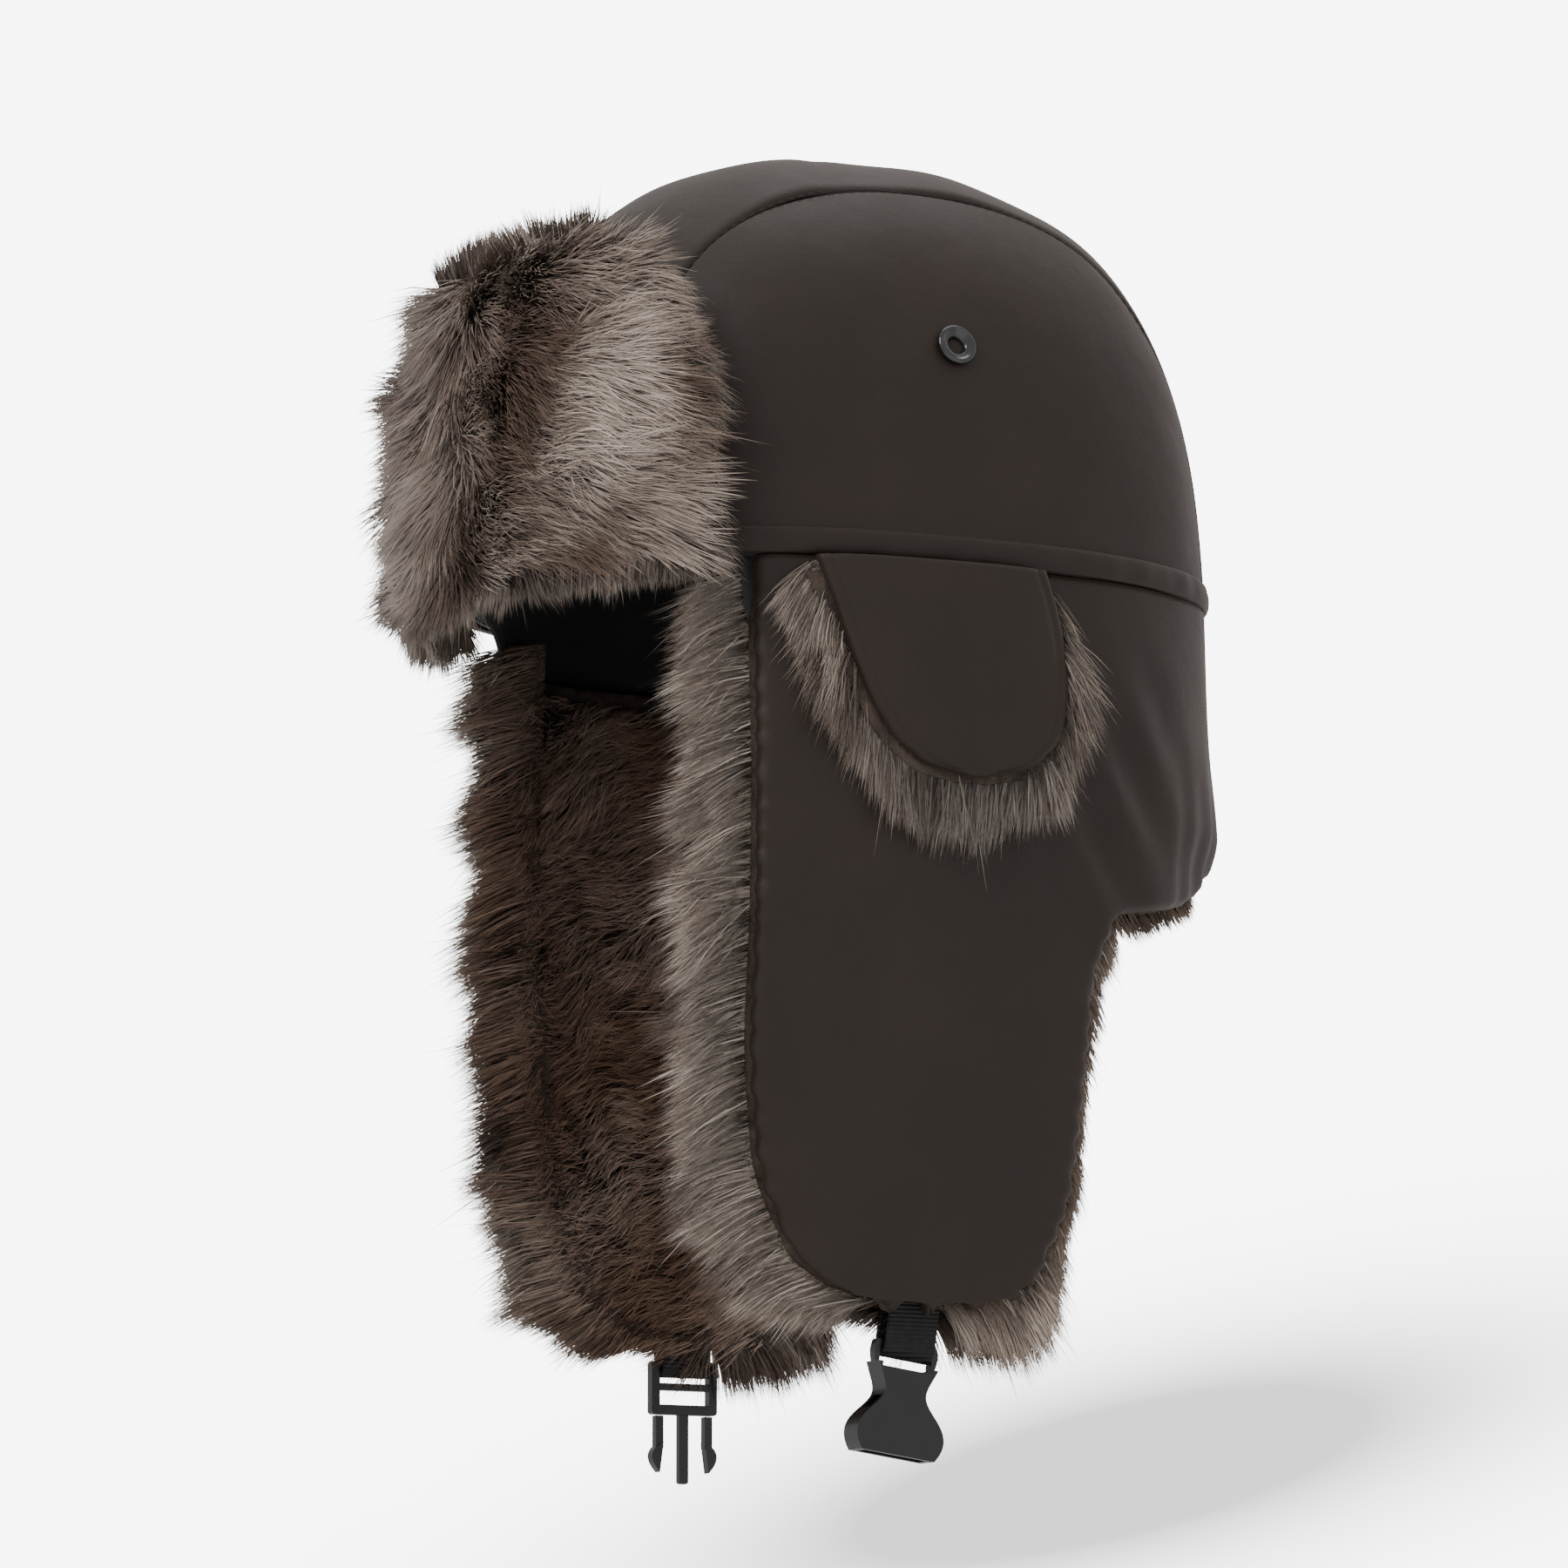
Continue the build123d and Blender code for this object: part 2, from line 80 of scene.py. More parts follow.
STRAP_Y = (STRAP_BOX[0][1] + STRAP_BOX[1][1]) / 2
STRAP_HALF = (STRAP_BOX[1][1] - STRAP_BOX[0][1]) / 2 + 1.5 * MM
STRAP_FREE = STRAP_BOX[1][2] + 8 * MM
FUR_SPARE = np.array(CAD_BOX[1]) * 0.03 - np.array(CAD_BOX[0]) * 0.03 + 9 * MM
FUR_LOW = np.array(CAD_BOX[0]) - FUR_SPARE
FUR_HIGH = np.array(CAD_BOX[1]) + FUR_SPARE
THIN = 1    # share of the strands made


# Number helpers

def unit(v):
    """Rows of v at length one."""
    return v / np.maximum(np.linalg.norm(v, axis=-1, keepdims=True), 1e-12)


def smooth(t):
    """Ease from 0 to 1."""
    t = np.clip(t, 0, 1)
    return t * t * (3 - 2 * t)


def curve(x, xs, ys):
    """Smooth curve through a few points, read at x."""
    xs, ys = np.array(xs, float), np.array(ys, float)
    if xs[0] > xs[-1]:
        xs, ys = xs[::-1], ys[::-1]
    m = np.gradient(ys, xs)
    x = np.clip(x, xs[0], xs[-1])
    i = np.clip(np.searchsorted(xs, x) - 1, 0, len(xs) - 2)
    h = xs[i + 1] - xs[i]
    t = (x - xs[i]) / h
    a = (1 + 2 * t) * (1 - t) ** 2 * ys[i] + t * (1 - t) ** 2 * h * m[i]
    return a + t * t * (3 - 2 * t) * ys[i + 1] + t * t * (t - 1) * h * m[i + 1]


def waves(points, size, seed, count=10):
    """Seeded soft noise between about -1 and 1, with features of one size."""
    r = np.random.default_rng(seed)
    k = unit(r.normal(size=(count, 3))) * r.uniform(0.6, 1.5, (count, 1)) * 2 * math.pi / size
    phase = r.uniform(0, 2 * math.pi, count)
    return np.sin(points @ k.T + phase).sum(-1) / math.sqrt(count / 2) / 1.6


# Shapes of the hat

def plan_x(y, offset=0.0):
    """Half width of the plan at y."""
    return (A + offset) * np.maximum(1 - np.abs(y / (B + offset)) ** P, 0) ** (1 / P)


def plan_ring(turn, grow_a, grow_b):
    """Plan point at an angle, for given half sizes."""
    c, s = np.cos(turn), np.sin(turn)
    k = (np.abs(c) ** P + np.abs(s) ** P) ** (-1 / P)
    return grow_a * k * c, grow_b * k * s


def crown_narrowing(z):
    """Width factor of the crown at height z."""
    return np.maximum(1 - (np.maximum(z, 0) / H) ** P, 0) ** (1 / P)


def flare(z):
    """How far the skirt and flaps stand outside the plan at height z."""
    upper = curve(z, (0, -32 * MM, -65 * MM, FOLD), (0, 1.4 * MM, 2.6 * MM, 2.0 * MM))
    lower = 2.0 * MM - FLAP_LEAN * (FOLD - z) / (FOLD - FOOT)
    return np.where(z < FOLD, lower, upper)


def flap_front(z):
    """Front edge of the flap at height z."""
    return curve(z, (FOLD, -0.160, -0.185, -0.197, FOOT + 9 * MM, FOOT + 3 * MM, FOOT + 0.8 * MM, FOOT),
                 (FRONT, -0.0655, -0.061, -0.0555, -0.0475, -0.036, -0.026, -0.009))


def flap_rear(z):
    """Rear edge of the flap at height z."""
    return curve(z, (FOLD, -0.116, -0.140, -0.170, -0.190, -0.201, FOOT + 6 * MM, FOOT + 1.6 * MM, FOOT),
                 (NECK_CORNER, 0.0435, 0.0418, 0.0395, 0.036, 0.0305, 0.023, 0.012, -0.004))


def neck_hem(turn):
    """Height of the neck hem, from the flap's rear corner to the back."""
    start = math.atan2(NECK_CORNER / B, plan_x(NECK_CORNER) / A)
    t = (turn - start) / (math.pi / 2 - start)
    return curve(t, (0, 0.25, 0.55, 1), (FOLD, -0.0945, -0.082, -0.077))


# Mesh helpers

def link_object(name, data):
    """New object in the scene."""
    obj = bpy.data.objects.new(name, data)
    bpy.context.scene.collection.objects.link(obj)
    return obj


def mesh_object(name, verts, faces, mat, smooth_faces=True):
    """Object from arrays."""
    mesh = bpy.data.meshes.new(name)
    mesh.from_pydata(np.asarray(verts).reshape(-1, 3).tolist(), [], faces)
    mesh.validate()
    if smooth_faces:
        mesh.polygons.foreach_set("use_smooth", [True] * len(mesh.polygons))
    obj = link_object(name, mesh)
    obj.data.materials.append(mat)
    return obj


def grid_normals(grid):
    """Unit normal at each point of a grid of positions."""
    du = np.gradient(grid, axis=0)
    dv = np.gradient(grid, axis=1)
    return unit(np.cross(du, dv))


def same(direction, like):
    """One direction, repeated at every point."""
    return np.array(direction, float) + 0 * like


def eased(rows, times):
    """Rows blended with their neighbours, with the two ends kept."""
    for _ in range(times):
        rows[1:-1] = (rows[:-2] + rows[1:-1] + rows[2:]) / 3
    return rows


def path_run(path):
    """Distance travelled at each point of a path."""
    return np.concatenate([[0], np.cumsum(np.linalg.norm(np.diff(path, axis=0), axis=-1))])


def along_path(s, run, values):
    """Values of a path's points, read at distances s along it."""
    return np.stack([np.interp(s, run, values[:, k]) for k in range(3)], -1)


def edge_distance(grid, sides):
    """Distance of each grid point from the nearest of the named borders."""
    rows = np.cumsum(np.pad(np.linalg.norm(np.diff(grid, axis=0), axis=-1), ((1, 0), (0, 0))), 0)
    cols = np.cumsum(np.pad(np.linalg.norm(np.diff(grid, axis=1), axis=-1), ((0, 0), (1, 0))), 1)
    far = np.full(grid.shape[:2], 1.0)
    options = {"first_row": rows, "last_row": rows[-1:] - rows,
               "first_col": cols, "last_col": cols[:, -1:] - cols}
    for side in sides:
        far = np.minimum(far, options[side])
    return far


def slab(name, grid, normals, thick, mat, round_sides=(), round_by=4 * MM, closed=False):
    """Closed padded sheet under a grid of outer points, with rolled edges."""
    edge = np.clip(edge_distance(grid, round_sides) / round_by, 0, 1) if round_sides else 1.0
    roll = np.sqrt(1 - (1 - edge) ** 2) if round_sides else np.ones(grid.shape[:2])
    half = (thick / 2 * np.maximum(roll, 0.12))[..., None]
    middle = grid - normals * thick / 2
    verts = np.stack([middle + normals * half, middle - normals * half])
    m, n = grid.shape[:2]
    index = np.arange(2 * m * n).reshape(2, m, n)
    cols = n if closed else n - 1
    faces = []
    for side, order in ((0, 1), (1, -1)):
        a = index[side]
        for i in range(m - 1):
            for j in range(cols):
                k = (j + 1) % n
                faces.append((a[i, j], a[i + 1, j], a[i + 1, k], a[i, k])[::order])
    rims = [(index[:, 0, :], -1), (index[:, -1, :], 1)]
    if not closed:
        rims += [(index[:, :, 0], 1), (index[:, :, -1], -1)]
    for rim, order in rims:
        length = rim.shape[1]
        for j in range(length if closed else length - 1):
            k = (j + 1) % length
            faces.append((rim[0, j], rim[1, j], rim[1, k], rim[0, k])[::order])
    obj = mesh_object(name, verts, [tuple(map(int, f)) for f in faces], mat)
    bpy.context.view_layer.objects.active = obj
    tidy_normals(obj)
    return obj


def tidy_normals(obj):
    """Point every face out of a closed mesh."""
    bm = bmesh.new()
    bm.from_mesh(obj.data)
    bmesh.ops.recalc_face_normals(bm, faces=bm.faces)
    bm.to_mesh(obj.data)
    bm.free()


def mirrored(grid):
    """The same points on the wearer's right."""
    return grid * np.array((-1.0, 1.0, 1.0))


SIDES = (("left", lambda g: g), ("right", mirrored))
SIGN = {"left": 1.0, "right": -1.0}


# Materials

def material(name, roughness):
    """New Principled material and its parts."""
    mat = bpy.data.materials.new(name)
    mat.use_nodes = True
    nodes, links = mat.node_tree.nodes, mat.node_tree.links
    shader = nodes["Principled BSDF"]
    shader.inputs["Roughness"].default_value = roughness
    return mat, nodes, links, shader


def add_noise(nodes, links, scale, detail=4.0, rough=0.55):
    """Noise fixed to the piece."""
    place = nodes.new("ShaderNodeTexCoord")
    noise = nodes.new("ShaderNodeTexNoise")
    noise.inputs["Scale"].default_value = scale
    noise.inputs["Detail"].default_value = detail
    noise.inputs["Roughness"].default_value = rough
    links.new(place.outputs["Object"], noise.inputs["Vector"])
    return noise


def add_ramp(nodes, links, source, dark, light, low=0.35, high=0.65):
    """Two tones picked by a value."""
    ramp = nodes.new("ShaderNodeValToRGB")
    ramp.color_ramp.elements[0].position = low
    ramp.color_ramp.elements[1].position = high
    ramp.color_ramp.elements[0].color = (*dark, 1)
    ramp.color_ramp.elements[1].color = (*light, 1)
    links.new(source, ramp.inputs["Fac"])
    return ramp


def add_tone(nodes, links, shader, noise, dark, light):
    """Base colour that drifts between two tones."""
    tone = add_ramp(nodes, links, noise.outputs["Fac"], dark, light)
    links.new(tone.outputs["Color"], shader.inputs["Base Color"])


def add_bump(nodes, links, shader, heights):
    """Bump from several (height socket, distance, strength)."""
    normal = None
    for socket, distance, strength in heights:
        bump = nodes.new("ShaderNodeBump")
        bump.inputs["Distance"].default_value = distance
        bump.inputs["Strength"].default_value = strength
        links.new(socket, bump.inputs["Height"])
        if normal:
            links.new(normal, bump.inputs["Normal"])
        normal = bump.outputs["Normal"]
    links.new(normal, shader.inputs["Normal"])


def add_weave(nodes, links, pitch):
    """Two crossed thread waves."""
    place = nodes.new("ShaderNodeTexCoord")
    total = nodes.new("ShaderNodeMath")
    total.operation = "ADD"
    for slot, way in enumerate(("Z", "DIAGONAL")):
        wave = nodes.new("ShaderNodeTexWave")
        wave.bands_direction = way
        wave.inputs["Scale"].default_value = 1 / pitch / 3.2
        wave.inputs["Distortion"].default_value = 0.4
        links.new(place.outputs["Object"], wave.inputs["Vector"])
        links.new(wave.outputs["Fac"], total.inputs[slot])
    return total.outputs[0]


def nylon_material():
    mat, nodes, links, shader = material("brown_nylon", 0.5)
    mottle = add_noise(nodes, links, 26, 5)
    add_tone(nodes, links, shader, mottle, (0.0145, 0.0077, 0.0047), (0.0185, 0.0100, 0.0064))
    gloss = add_noise(nodes, links, 60, 3)
    spread = nodes.new("ShaderNodeMapRange")
    spread.inputs["To Min"].default_value = 0.46
    spread.inputs["To Max"].default_value = 0.6
    links.new(gloss.outputs["Fac"], spread.inputs["Value"])
    links.new(spread.outputs["Result"], shader.inputs["Roughness"])
    shader.inputs["Sheen Weight"].default_value = 0.12
    shader.inputs["Sheen Roughness"].default_value = 0.45
    shader.inputs["Sheen Tint"].default_value = (0.66, 0.5, 0.42, 1)
    shader.inputs["Specular IOR Level"].default_value = 0.34
    wrinkle = add_noise(nodes, links, 75, 4, 0.5)
    add_bump(nodes, links, shader, ((wrinkle.outputs["Fac"], 0.0012, 0.35),
                                    (add_weave(nodes, links, 0.0006), 0.0001, 0.25)))
    return mat


def fur_material():
    mat, nodes, links, shader = material("faux_fur", 0.62)
    colour = nodes.new("ShaderNodeAttribute")
    colour.attribute_name = "pile_colour"
    grain = add_noise(nodes, links, 700, 2)
    mix = nodes.new("ShaderNodeMix")
    mix.data_type = "RGBA"
    mix.blend_type = "MULTIPLY"
    mix.inputs["Factor"].default_value = 0.3
    tone = add_ramp(nodes, links, grain.outputs["Fac"], (0.55, 0.5, 0.46), (1, 1, 1))
    links.new(colour.outputs["Color"], mix.inputs["A"])
    links.new(tone.outputs["Color"], mix.inputs["B"])
    links.new(mix.outputs["Result"], shader.inputs["Base Color"])
    shader.inputs["Sheen Weight"].default_value = 0.12
    shader.inputs["Specular IOR Level"].default_value = 0.35
    return mat


def pelt_material():
    mat, nodes, links, shader = material("fur_backing", 0.9)
    patches = add_noise(nodes, links, 140, 6, 0.7)
    add_tone(nodes, links, shader, patches, (0.022, 0.014, 0.01), (0.085, 0.06, 0.045))
    add_bump(nodes, links, shader, ((patches.outputs["Fac"], 0.003, 0.9),))
    return mat


def lining_material():
    mat, nodes, links, shader = material("quilted_lining", 0.5)
    patches = add_noise(nodes, links, 40)
    # near-black: the lining's dark cloth, made as dark as the shade inside the crown looks, so partly painted
    # shade
    add_tone(nodes, links, shader, patches, (0.006, 0.006, 0.0055), (0.012, 0.0115, 0.011))
    shader.inputs["Sheen Weight"].default_value = 0.1
    add_bump(nodes, links, shader, ((add_weave(nodes, links, 0.0007), 0.0001, 0.3),))
    return mat


def plastic_material(name, tone_low, tone_high, roughness, grain, coat=0.0):
    mat, nodes, links, shader = material(name, roughness)
    fleck = add_noise(nodes, links, 900, 2)
    add_tone(nodes, links, shader, add_noise(nodes, links, 120), tone_low, tone_high)
    shader.inputs["Coat Weight"].default_value = coat
    shader.inputs["Coat Roughness"].default_value = 0.12
    add_bump(nodes, links, shader, ((fleck.outputs["Fac"], 0.0002, grain),))
    return mat


def webbing_material():
    mat, nodes, links, shader = material("webbing", 0.75)
    add_tone(nodes, links, shader, add_noise(nodes, links, 400), (0.002, 0.002, 0.002), (0.008, 0.008, 0.008))
    place = nodes.new("ShaderNodeTexCoord")
    ribs = nodes.new("ShaderNodeTexWave")
    ribs.bands_direction = "Z"
    ribs.inputs["Scale"].default_value = 260
    links.new(place.outputs["Object"], ribs.inputs["Vector"])
    add_bump(nodes, links, shader, ((ribs.outputs["Fac"], 0.0006, 0.9),))
    return mat


NYLON = nylon_material()
FUR = fur_material()
PELT = pelt_material()
LINING = lining_material()
PLASTIC = plastic_material("buckle_plastic", (0.0022, 0.0026, 0.0025), (0.004, 0.0047, 0.0044), 0.36, 0.2,
                           0.05)
ENAMEL = plastic_material("eyelet_enamel", (0.004, 0.0045, 0.0045), (0.008, 0.0085, 0.009), 0.16, 0.05,
                          0.6)
WEBBING = webbing_material()
THREAD = plastic_material("thread", (0.012, 0.008, 0.007), (0.02, 0.014, 0.012), 0.7, 0.4)


# Crown

CROWN_CLOTH = 3 * MM
SEAM_ROLL = 2.6 * MM
STITCH_ROW = 67    # row of the side panel just under its arched seam
QUILT = 70    # how closely the lining is quilted
LINING_CLOTH = 1.2 * MM

def puff(points, normals, depth, seed, size=0.06):
    """Soft hand of padded cloth: shallow hills along the normals."""
    return points + normals * (depth * waves(points, size, seed))[..., None]


def side_panel_grid(inset=0.0):
    """Left crown panel, from the band up to its arched seam."""
    a, b, h = A - inset, B - inset, H - inset
    turn_limit = 1.1
    for _ in range(60):
        turn_limit += 0.5 * (plan_ring(np.array(turn_limit), a, b)[0] - STRIP) / a
    turn = np.linspace(-turn_limit, turn_limit, 121)
    x0, y0 = plan_ring(turn, a, b)
    narrow = np.minimum(STRIP / x0, 1)
    top = h * (1 - narrow ** P) ** (1 / P)
    rows = np.linspace(0, 1, 71)[:, None]
    z = top * np.sin(rows * math.pi / 2)
    k = np.maximum(1 - (z / h) ** P, 0) ** (1 / P)
    return np.stack([x0 * k, y0 * k, z], -1)


def strip_grid(inset=0.0):
    """Centre strip of the crown, from the front band to the back band."""
    a, b, h = A - inset, B - inset, H - inset
    x = np.linspace(-STRIP, STRIP, 61)[None, :]
    level = (1 - np.abs(x / a) ** P) ** (1 / P)
    turn = np.linspace(0, math.pi, 181)[:, None]
    c, s = np.cos(turn), np.sin(turn)
    k = (np.abs(c) ** P + np.abs(s) ** P) ** (-1 / P)
    return np.stack([x + 0 * turn, -b * k * c * level, h * k * s * level], -1)


def dress(obj, body, nodes):
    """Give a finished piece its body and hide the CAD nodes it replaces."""
    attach(obj, body)
    if nodes:
        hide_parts(*nodes)
    return obj


def make_crown():
    grid = side_panel_grid()
    n = outward(grid)
    grid = puff(grid, n, 0.5 * MM, 11)
    for side, turn in SIDES:
        obj = slab(f"side_panel_{side}", turn(grid), turn(n), CROWN_CLOTH, NYLON, ("last_row",), SEAM_ROLL)
        dress(obj, "crown", [f"crown_panel_{side}"])
    grid = strip_grid()
    n = outward(grid)
    grid = puff(grid, n, 0.6 * MM, 12)
    crease = np.exp(-((grid[..., 1] + 0.012 + 0.25 * grid[..., 0]) / 0.004) ** 2)
    crease *= np.exp(-((grid[..., 0] - 0.035) / 0.03) ** 2)
    grid = grid - n * (0.4 * MM * crease)[..., None]
    obj = slab("centre_strip", grid, n, CROWN_CLOTH, NYLON, ("first_col", "last_col"), SEAM_ROLL)
    dress(obj, "crown", ["crown_centre_strip"])
    make_seam_stitches()


def outward(grid, centre=(0, 0, 0.02)):
    """Grid normals that point away from the middle of the head."""
    n = grid_normals(grid)
    away = grid - np.array(centre)
    return n * np.sign((n * away).sum(-1, keepdims=True) + 1e-9)


def rods(name, starts, ends, radius, mat):
    """Many short stitches as one mesh."""
    d = unit(ends - starts)
    side = unit(np.cross(d, np.array((0.3, 0.5, 0.81))))
    up = np.cross(d, side)
    verts, faces = [], []
    around = 6
    for i in range(len(starts)):
        base = len(verts)
        for place, size in ((starts[i], 0.45), (starts[i] * 0.75 + ends[i] * 0.25, 1),
                            (starts[i] * 0.25 + ends[i] * 0.75, 1), (ends[i], 0.45)):
            for k in range(around):
                t = 2 * math.pi * k / around
                verts.append(place + radius * size * (math.cos(t) * side[i] + math.sin(t) * up[i]))
        for ring in range(3):
            for k in range(around):
                p, q = base + ring * around + k, base + ring * around + (k + 1) % around
                faces.append((p, q, q + around, p + around))
        faces.append(tuple(base + k for k in range(around))[::-1])
        faces.append(tuple(base + 3 * around + k for k in range(around)))
    return mesh_object(name, np.array(verts), faces, mat)


def stitch_line(path, normals, pitch, length, sink):
    """Start and end points of stitches spaced along a dense path."""
    run = path_run(path)
    marks = np.arange(pitch, run[-1] - pitch, pitch)
    sunk = path - normals * sink
    return along_path(marks - length / 2, run, sunk), along_path(marks + length / 2, run, sunk)


def make_seam_stitches():
    """Top stitching beside the two arched crown seams."""
    grid = side_panel_grid()
    n = outward(grid)
    path, normals = grid[STITCH_ROW, 6:-6], n[STITCH_ROW, 6:-6]
    for side, turn in SIDES:
        a, b = stitch_line(turn(path), turn(normals), 3.6 * MM, 2.3 * MM, 0.15 * MM)
        dress(rods(f"seam_stitches_{side}", a, b, 0.22 * MM, THREAD), "crown", [])


def make_lining():
    """Quilted dome inside the crown, and the sweatband at its foot, which hangs low at the front sides as a
    dark sheet of painted shade.
    """
    inset = 4.0 * MM
    a, b, h = A - inset, B - inset, H - inset
    turn = np.linspace(0, 2 * math.pi, 144, endpoint=False)[None, :]
    tilt = np.linspace(0, math.radians(88.5), 60)[:, None]
    z = h * np.sin(tilt) ** (2 / P)
    k = np.cos(tilt) ** (2 / P)
    x, y = plan_ring(turn, a, b)
    grid = np.stack([x * k, y * k, z + 0 * x], -1)
    x, y, z = grid[..., 0], grid[..., 1], grid[..., 2]
    quilt = np.abs(np.sin(x * QUILT + z * QUILT)) * np.abs(np.sin(y * QUILT - z * QUILT))
    n = outward(grid)
    grid = grid + n * (0.8 * MM * (quilt - 1))[..., None]
    obj = slab("lining_dome", grid, n, LINING_CLOTH, LINING, closed=True)
    dress(obj, "crown", ["crown_lining", "crown_padding"])
    x, y = plan_ring(turn, A - 6.2 * MM, B - 6.2 * MM)
    share = np.linspace(0, 1, 12)[:, None]
    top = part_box("sweatband")[1][2]
    # painted shade: at the front sides the dark tape hangs up to 20 mm low, filling the gap under the visor
    # where there is only shade
    foot = -20 * MM * smooth((0.01 - y) / 0.05) * smooth((y + 0.086) / 0.016)
    z = foot + (top - foot) * share
    narrow = 1 - 0.015 * smooth(z / top)
    grid = np.stack([x * narrow, y * narrow, z + 0 * x], -1)
    obj = slab("sweatband_tape", grid, outward(grid), LINING_CLOTH, LINING, ("last_row", "first_row"), 1 * MM,
               True)
    dress(obj, "crown", ["sweatband"])


def make_band():
    """Puffy roll sewn round the foot of the crown."""
    turn = np.linspace(0, 2 * math.pi, 480, endpoint=False)[None, :]
    around = np.linspace(0, 2 * math.pi, 20, endpoint=False)[:, None]
    swell = 1 + 0.10 * np.sin(turn * 37) + 0.07 * np.sin(turn * 61 + 1.0)
    out = 0.5 * MM + 1.3 * MM * np.cos(around) * swell
    z = BAND_TOP / 2 + BAND_TOP / 2 * np.sin(around)
    x, y = plan_ring(turn, A + out, B + out)
    grid = np.stack([x, y, z + 0 * x], -1)
    m, n = grid.shape[:2]
    faces = [(i * n + j, i * n + (j + 1) % n, (i + 1) % m * n + (j + 1) % n, (i + 1) % m * n + j)
             for i in range(m) for j in range(n)]
    obj = mesh_object("base_roll", grid, faces, NYLON)
    tidy_normals(obj)
    dress(obj, "crown", ["band_roll"])


def lathe(name, profile, place, axis, mat, around=48):
    """Turn a closed (radius, height) profile about an axis."""
    axis = Vector(axis).normalized()
    side = axis.orthogonal().normalized()
    up = axis.cross(side)
    verts, faces = [], []
    count = len(profile)
    for j in range(around):
        t = 2 * math.pi * j / around
        ray = side * math.cos(t) + up * math.sin(t)
        verts += [tuple(Vector(place) + ray * r + axis * h) for r, h in profile]
        for i in range(count):
            a, b = j * count + i, j * count + (i + 1) % count
            c, d = (j + 1) % around * count + (i + 1) % count, (j + 1) % around * count + i
            faces.append((a, b, c, d))
    obj = mesh_object(name, np.array(verts), faces, mat)
    tidy_normals(obj)
    return obj


def make_eyelets():
    """Dished vent eyelets with a rolled rim and a small through hole."""
    y, z = -3 * MM, 67 * MM
    x = A * (1 - abs(y / B) ** P - (z / H) ** P) ** (1 / P)
    normal = np.array([(x / A) ** 1.5 / A, -(abs(y) / B) ** 1.5 / B, (z / H) ** 1.5 / H])
    normal /= np.linalg.norm(normal)
    profile = [(2.2, -8), (3.3, -8), (3.3, 0.1), (6.0, 0.3), (6.3, 0.7), (6.25, 1.2), (5.9, 1.6), (5.4, 1.75),
               (4.9, 1.6), (4.5, 1.25), (3.9, 1.0), (3.3, 0.95), (3.0, 0.7), (2.7, 0.1), (2.2, -0.6)]
    profile = [(r * MM, h * MM) for r, h in profile]
    for side, sign in SIGN.items():
        flip = np.array((sign, 1, 1))
        obj = lathe(f"vent_eyelet_{side}", profile, np.array((x, y, z)) * flip, normal * flip, ENAMEL)
        dress(obj, "crown", [f"eyelet_{side}"])


# Skirt and flaps

SKIRT_CLOTH = 5 * MM
EDGE_ROLL = 4.5 * MM

def skirt_grids(offset, front_extra=0.0, foot_extra=0.0, top=-0.4 * MM, hem_drop=0.0):
    """Left skirt above the fold and left flap below it, as two grids that share a row."""
    cols_neck, rows_up, rows_down = 46, 44, 80
    y = np.linspace(FRONT - front_extra, NECK_CORNER, FLAP_COLS)
    start = math.atan2(NECK_CORNER / B, plan_x(NECK_CORNER) / A)
    turns = np.linspace(start, math.pi / 2, cols_neck)
    v = np.linspace(0, 1, rows_up)[:, None]
    z_flap = top + (FOLD - top) * v + 0 * y
    z_neck = top + (neck_hem(turns) - hem_drop * (1 - np.exp(-6 * (turns - start))) - top) * v
    out = flare(z_flap) + offset
    flap_up = np.stack([plan_x(y, out), y + 0 * z_flap, z_flap], -1)
    out = flare(z_neck) + offset
    x, yy = plan_ring(turns + 0 * z_neck, A + out, B + out)
    neck = np.stack([x, yy, z_neck], -1)
    upper = np.concatenate([flap_up, neck[:, 1:]], 1)
    s = np.linspace(0, 1, rows_down)
    s = 1 - (1 - s) ** 2.3
    z = (FOLD + (FOOT - foot_extra - FOLD) * s)[:, None]
    zz = FOLD + (FOOT - FOLD) * s[:, None]
    w = np.linspace(0, 1, FLAP_COLS)[None, :]
    low, high = flap_front(zz) - front_extra, flap_rear(zz) + foot_extra / 2 * smooth(s[:, None] * 3)
    yl = low + (high - low) * w
    out = flare(z) + offset + 0 * yl
    lower = np.stack([plan_x(yl, out), yl, z + 0 * yl], -1)
    return upper, lower


def gather(grid, normals, depth):
    """Pleats that deepen towards the elastic hem behind the flap."""
    turn = np.arctan2(grid[..., 1], grid[..., 0])
    behind = smooth((turn - 0.62) / 0.3)
    low = smooth((-grid[..., 2] - 0.035) / 0.045)
    pleat = np.sin(turn * 46 + 1.3 * np.sin(turn * 9)) * 0.6 + np.sin(turn * 27 + 2) * 0.4
    draw = -3.2 * MM * smooth((-grid[..., 2] - 0.068) / 0.016)
    return grid + normals * ((depth * pleat * low + draw) * behind)[..., None]


def fold_waves(grid, normals):
    """Slack folds where the flap meets the neck guard, and soft hills elsewhere."""
    y, z = grid[..., 1], grid[..., 2]
    slack = np.exp(-((y - 0.052 - 0.35 * (z + 0.06)) / 0.02) ** 2) * np.exp(-((z + 0.07) / 0.035) ** 2)
    ripple = np.sin((y * 0.8 + z * 0.5) * 2 * math.pi / 0.021)
    return grid + normals * (1.5 * MM * slack * ripple + 0.8 * MM * waves(grid, 0.075, 21))[..., None]


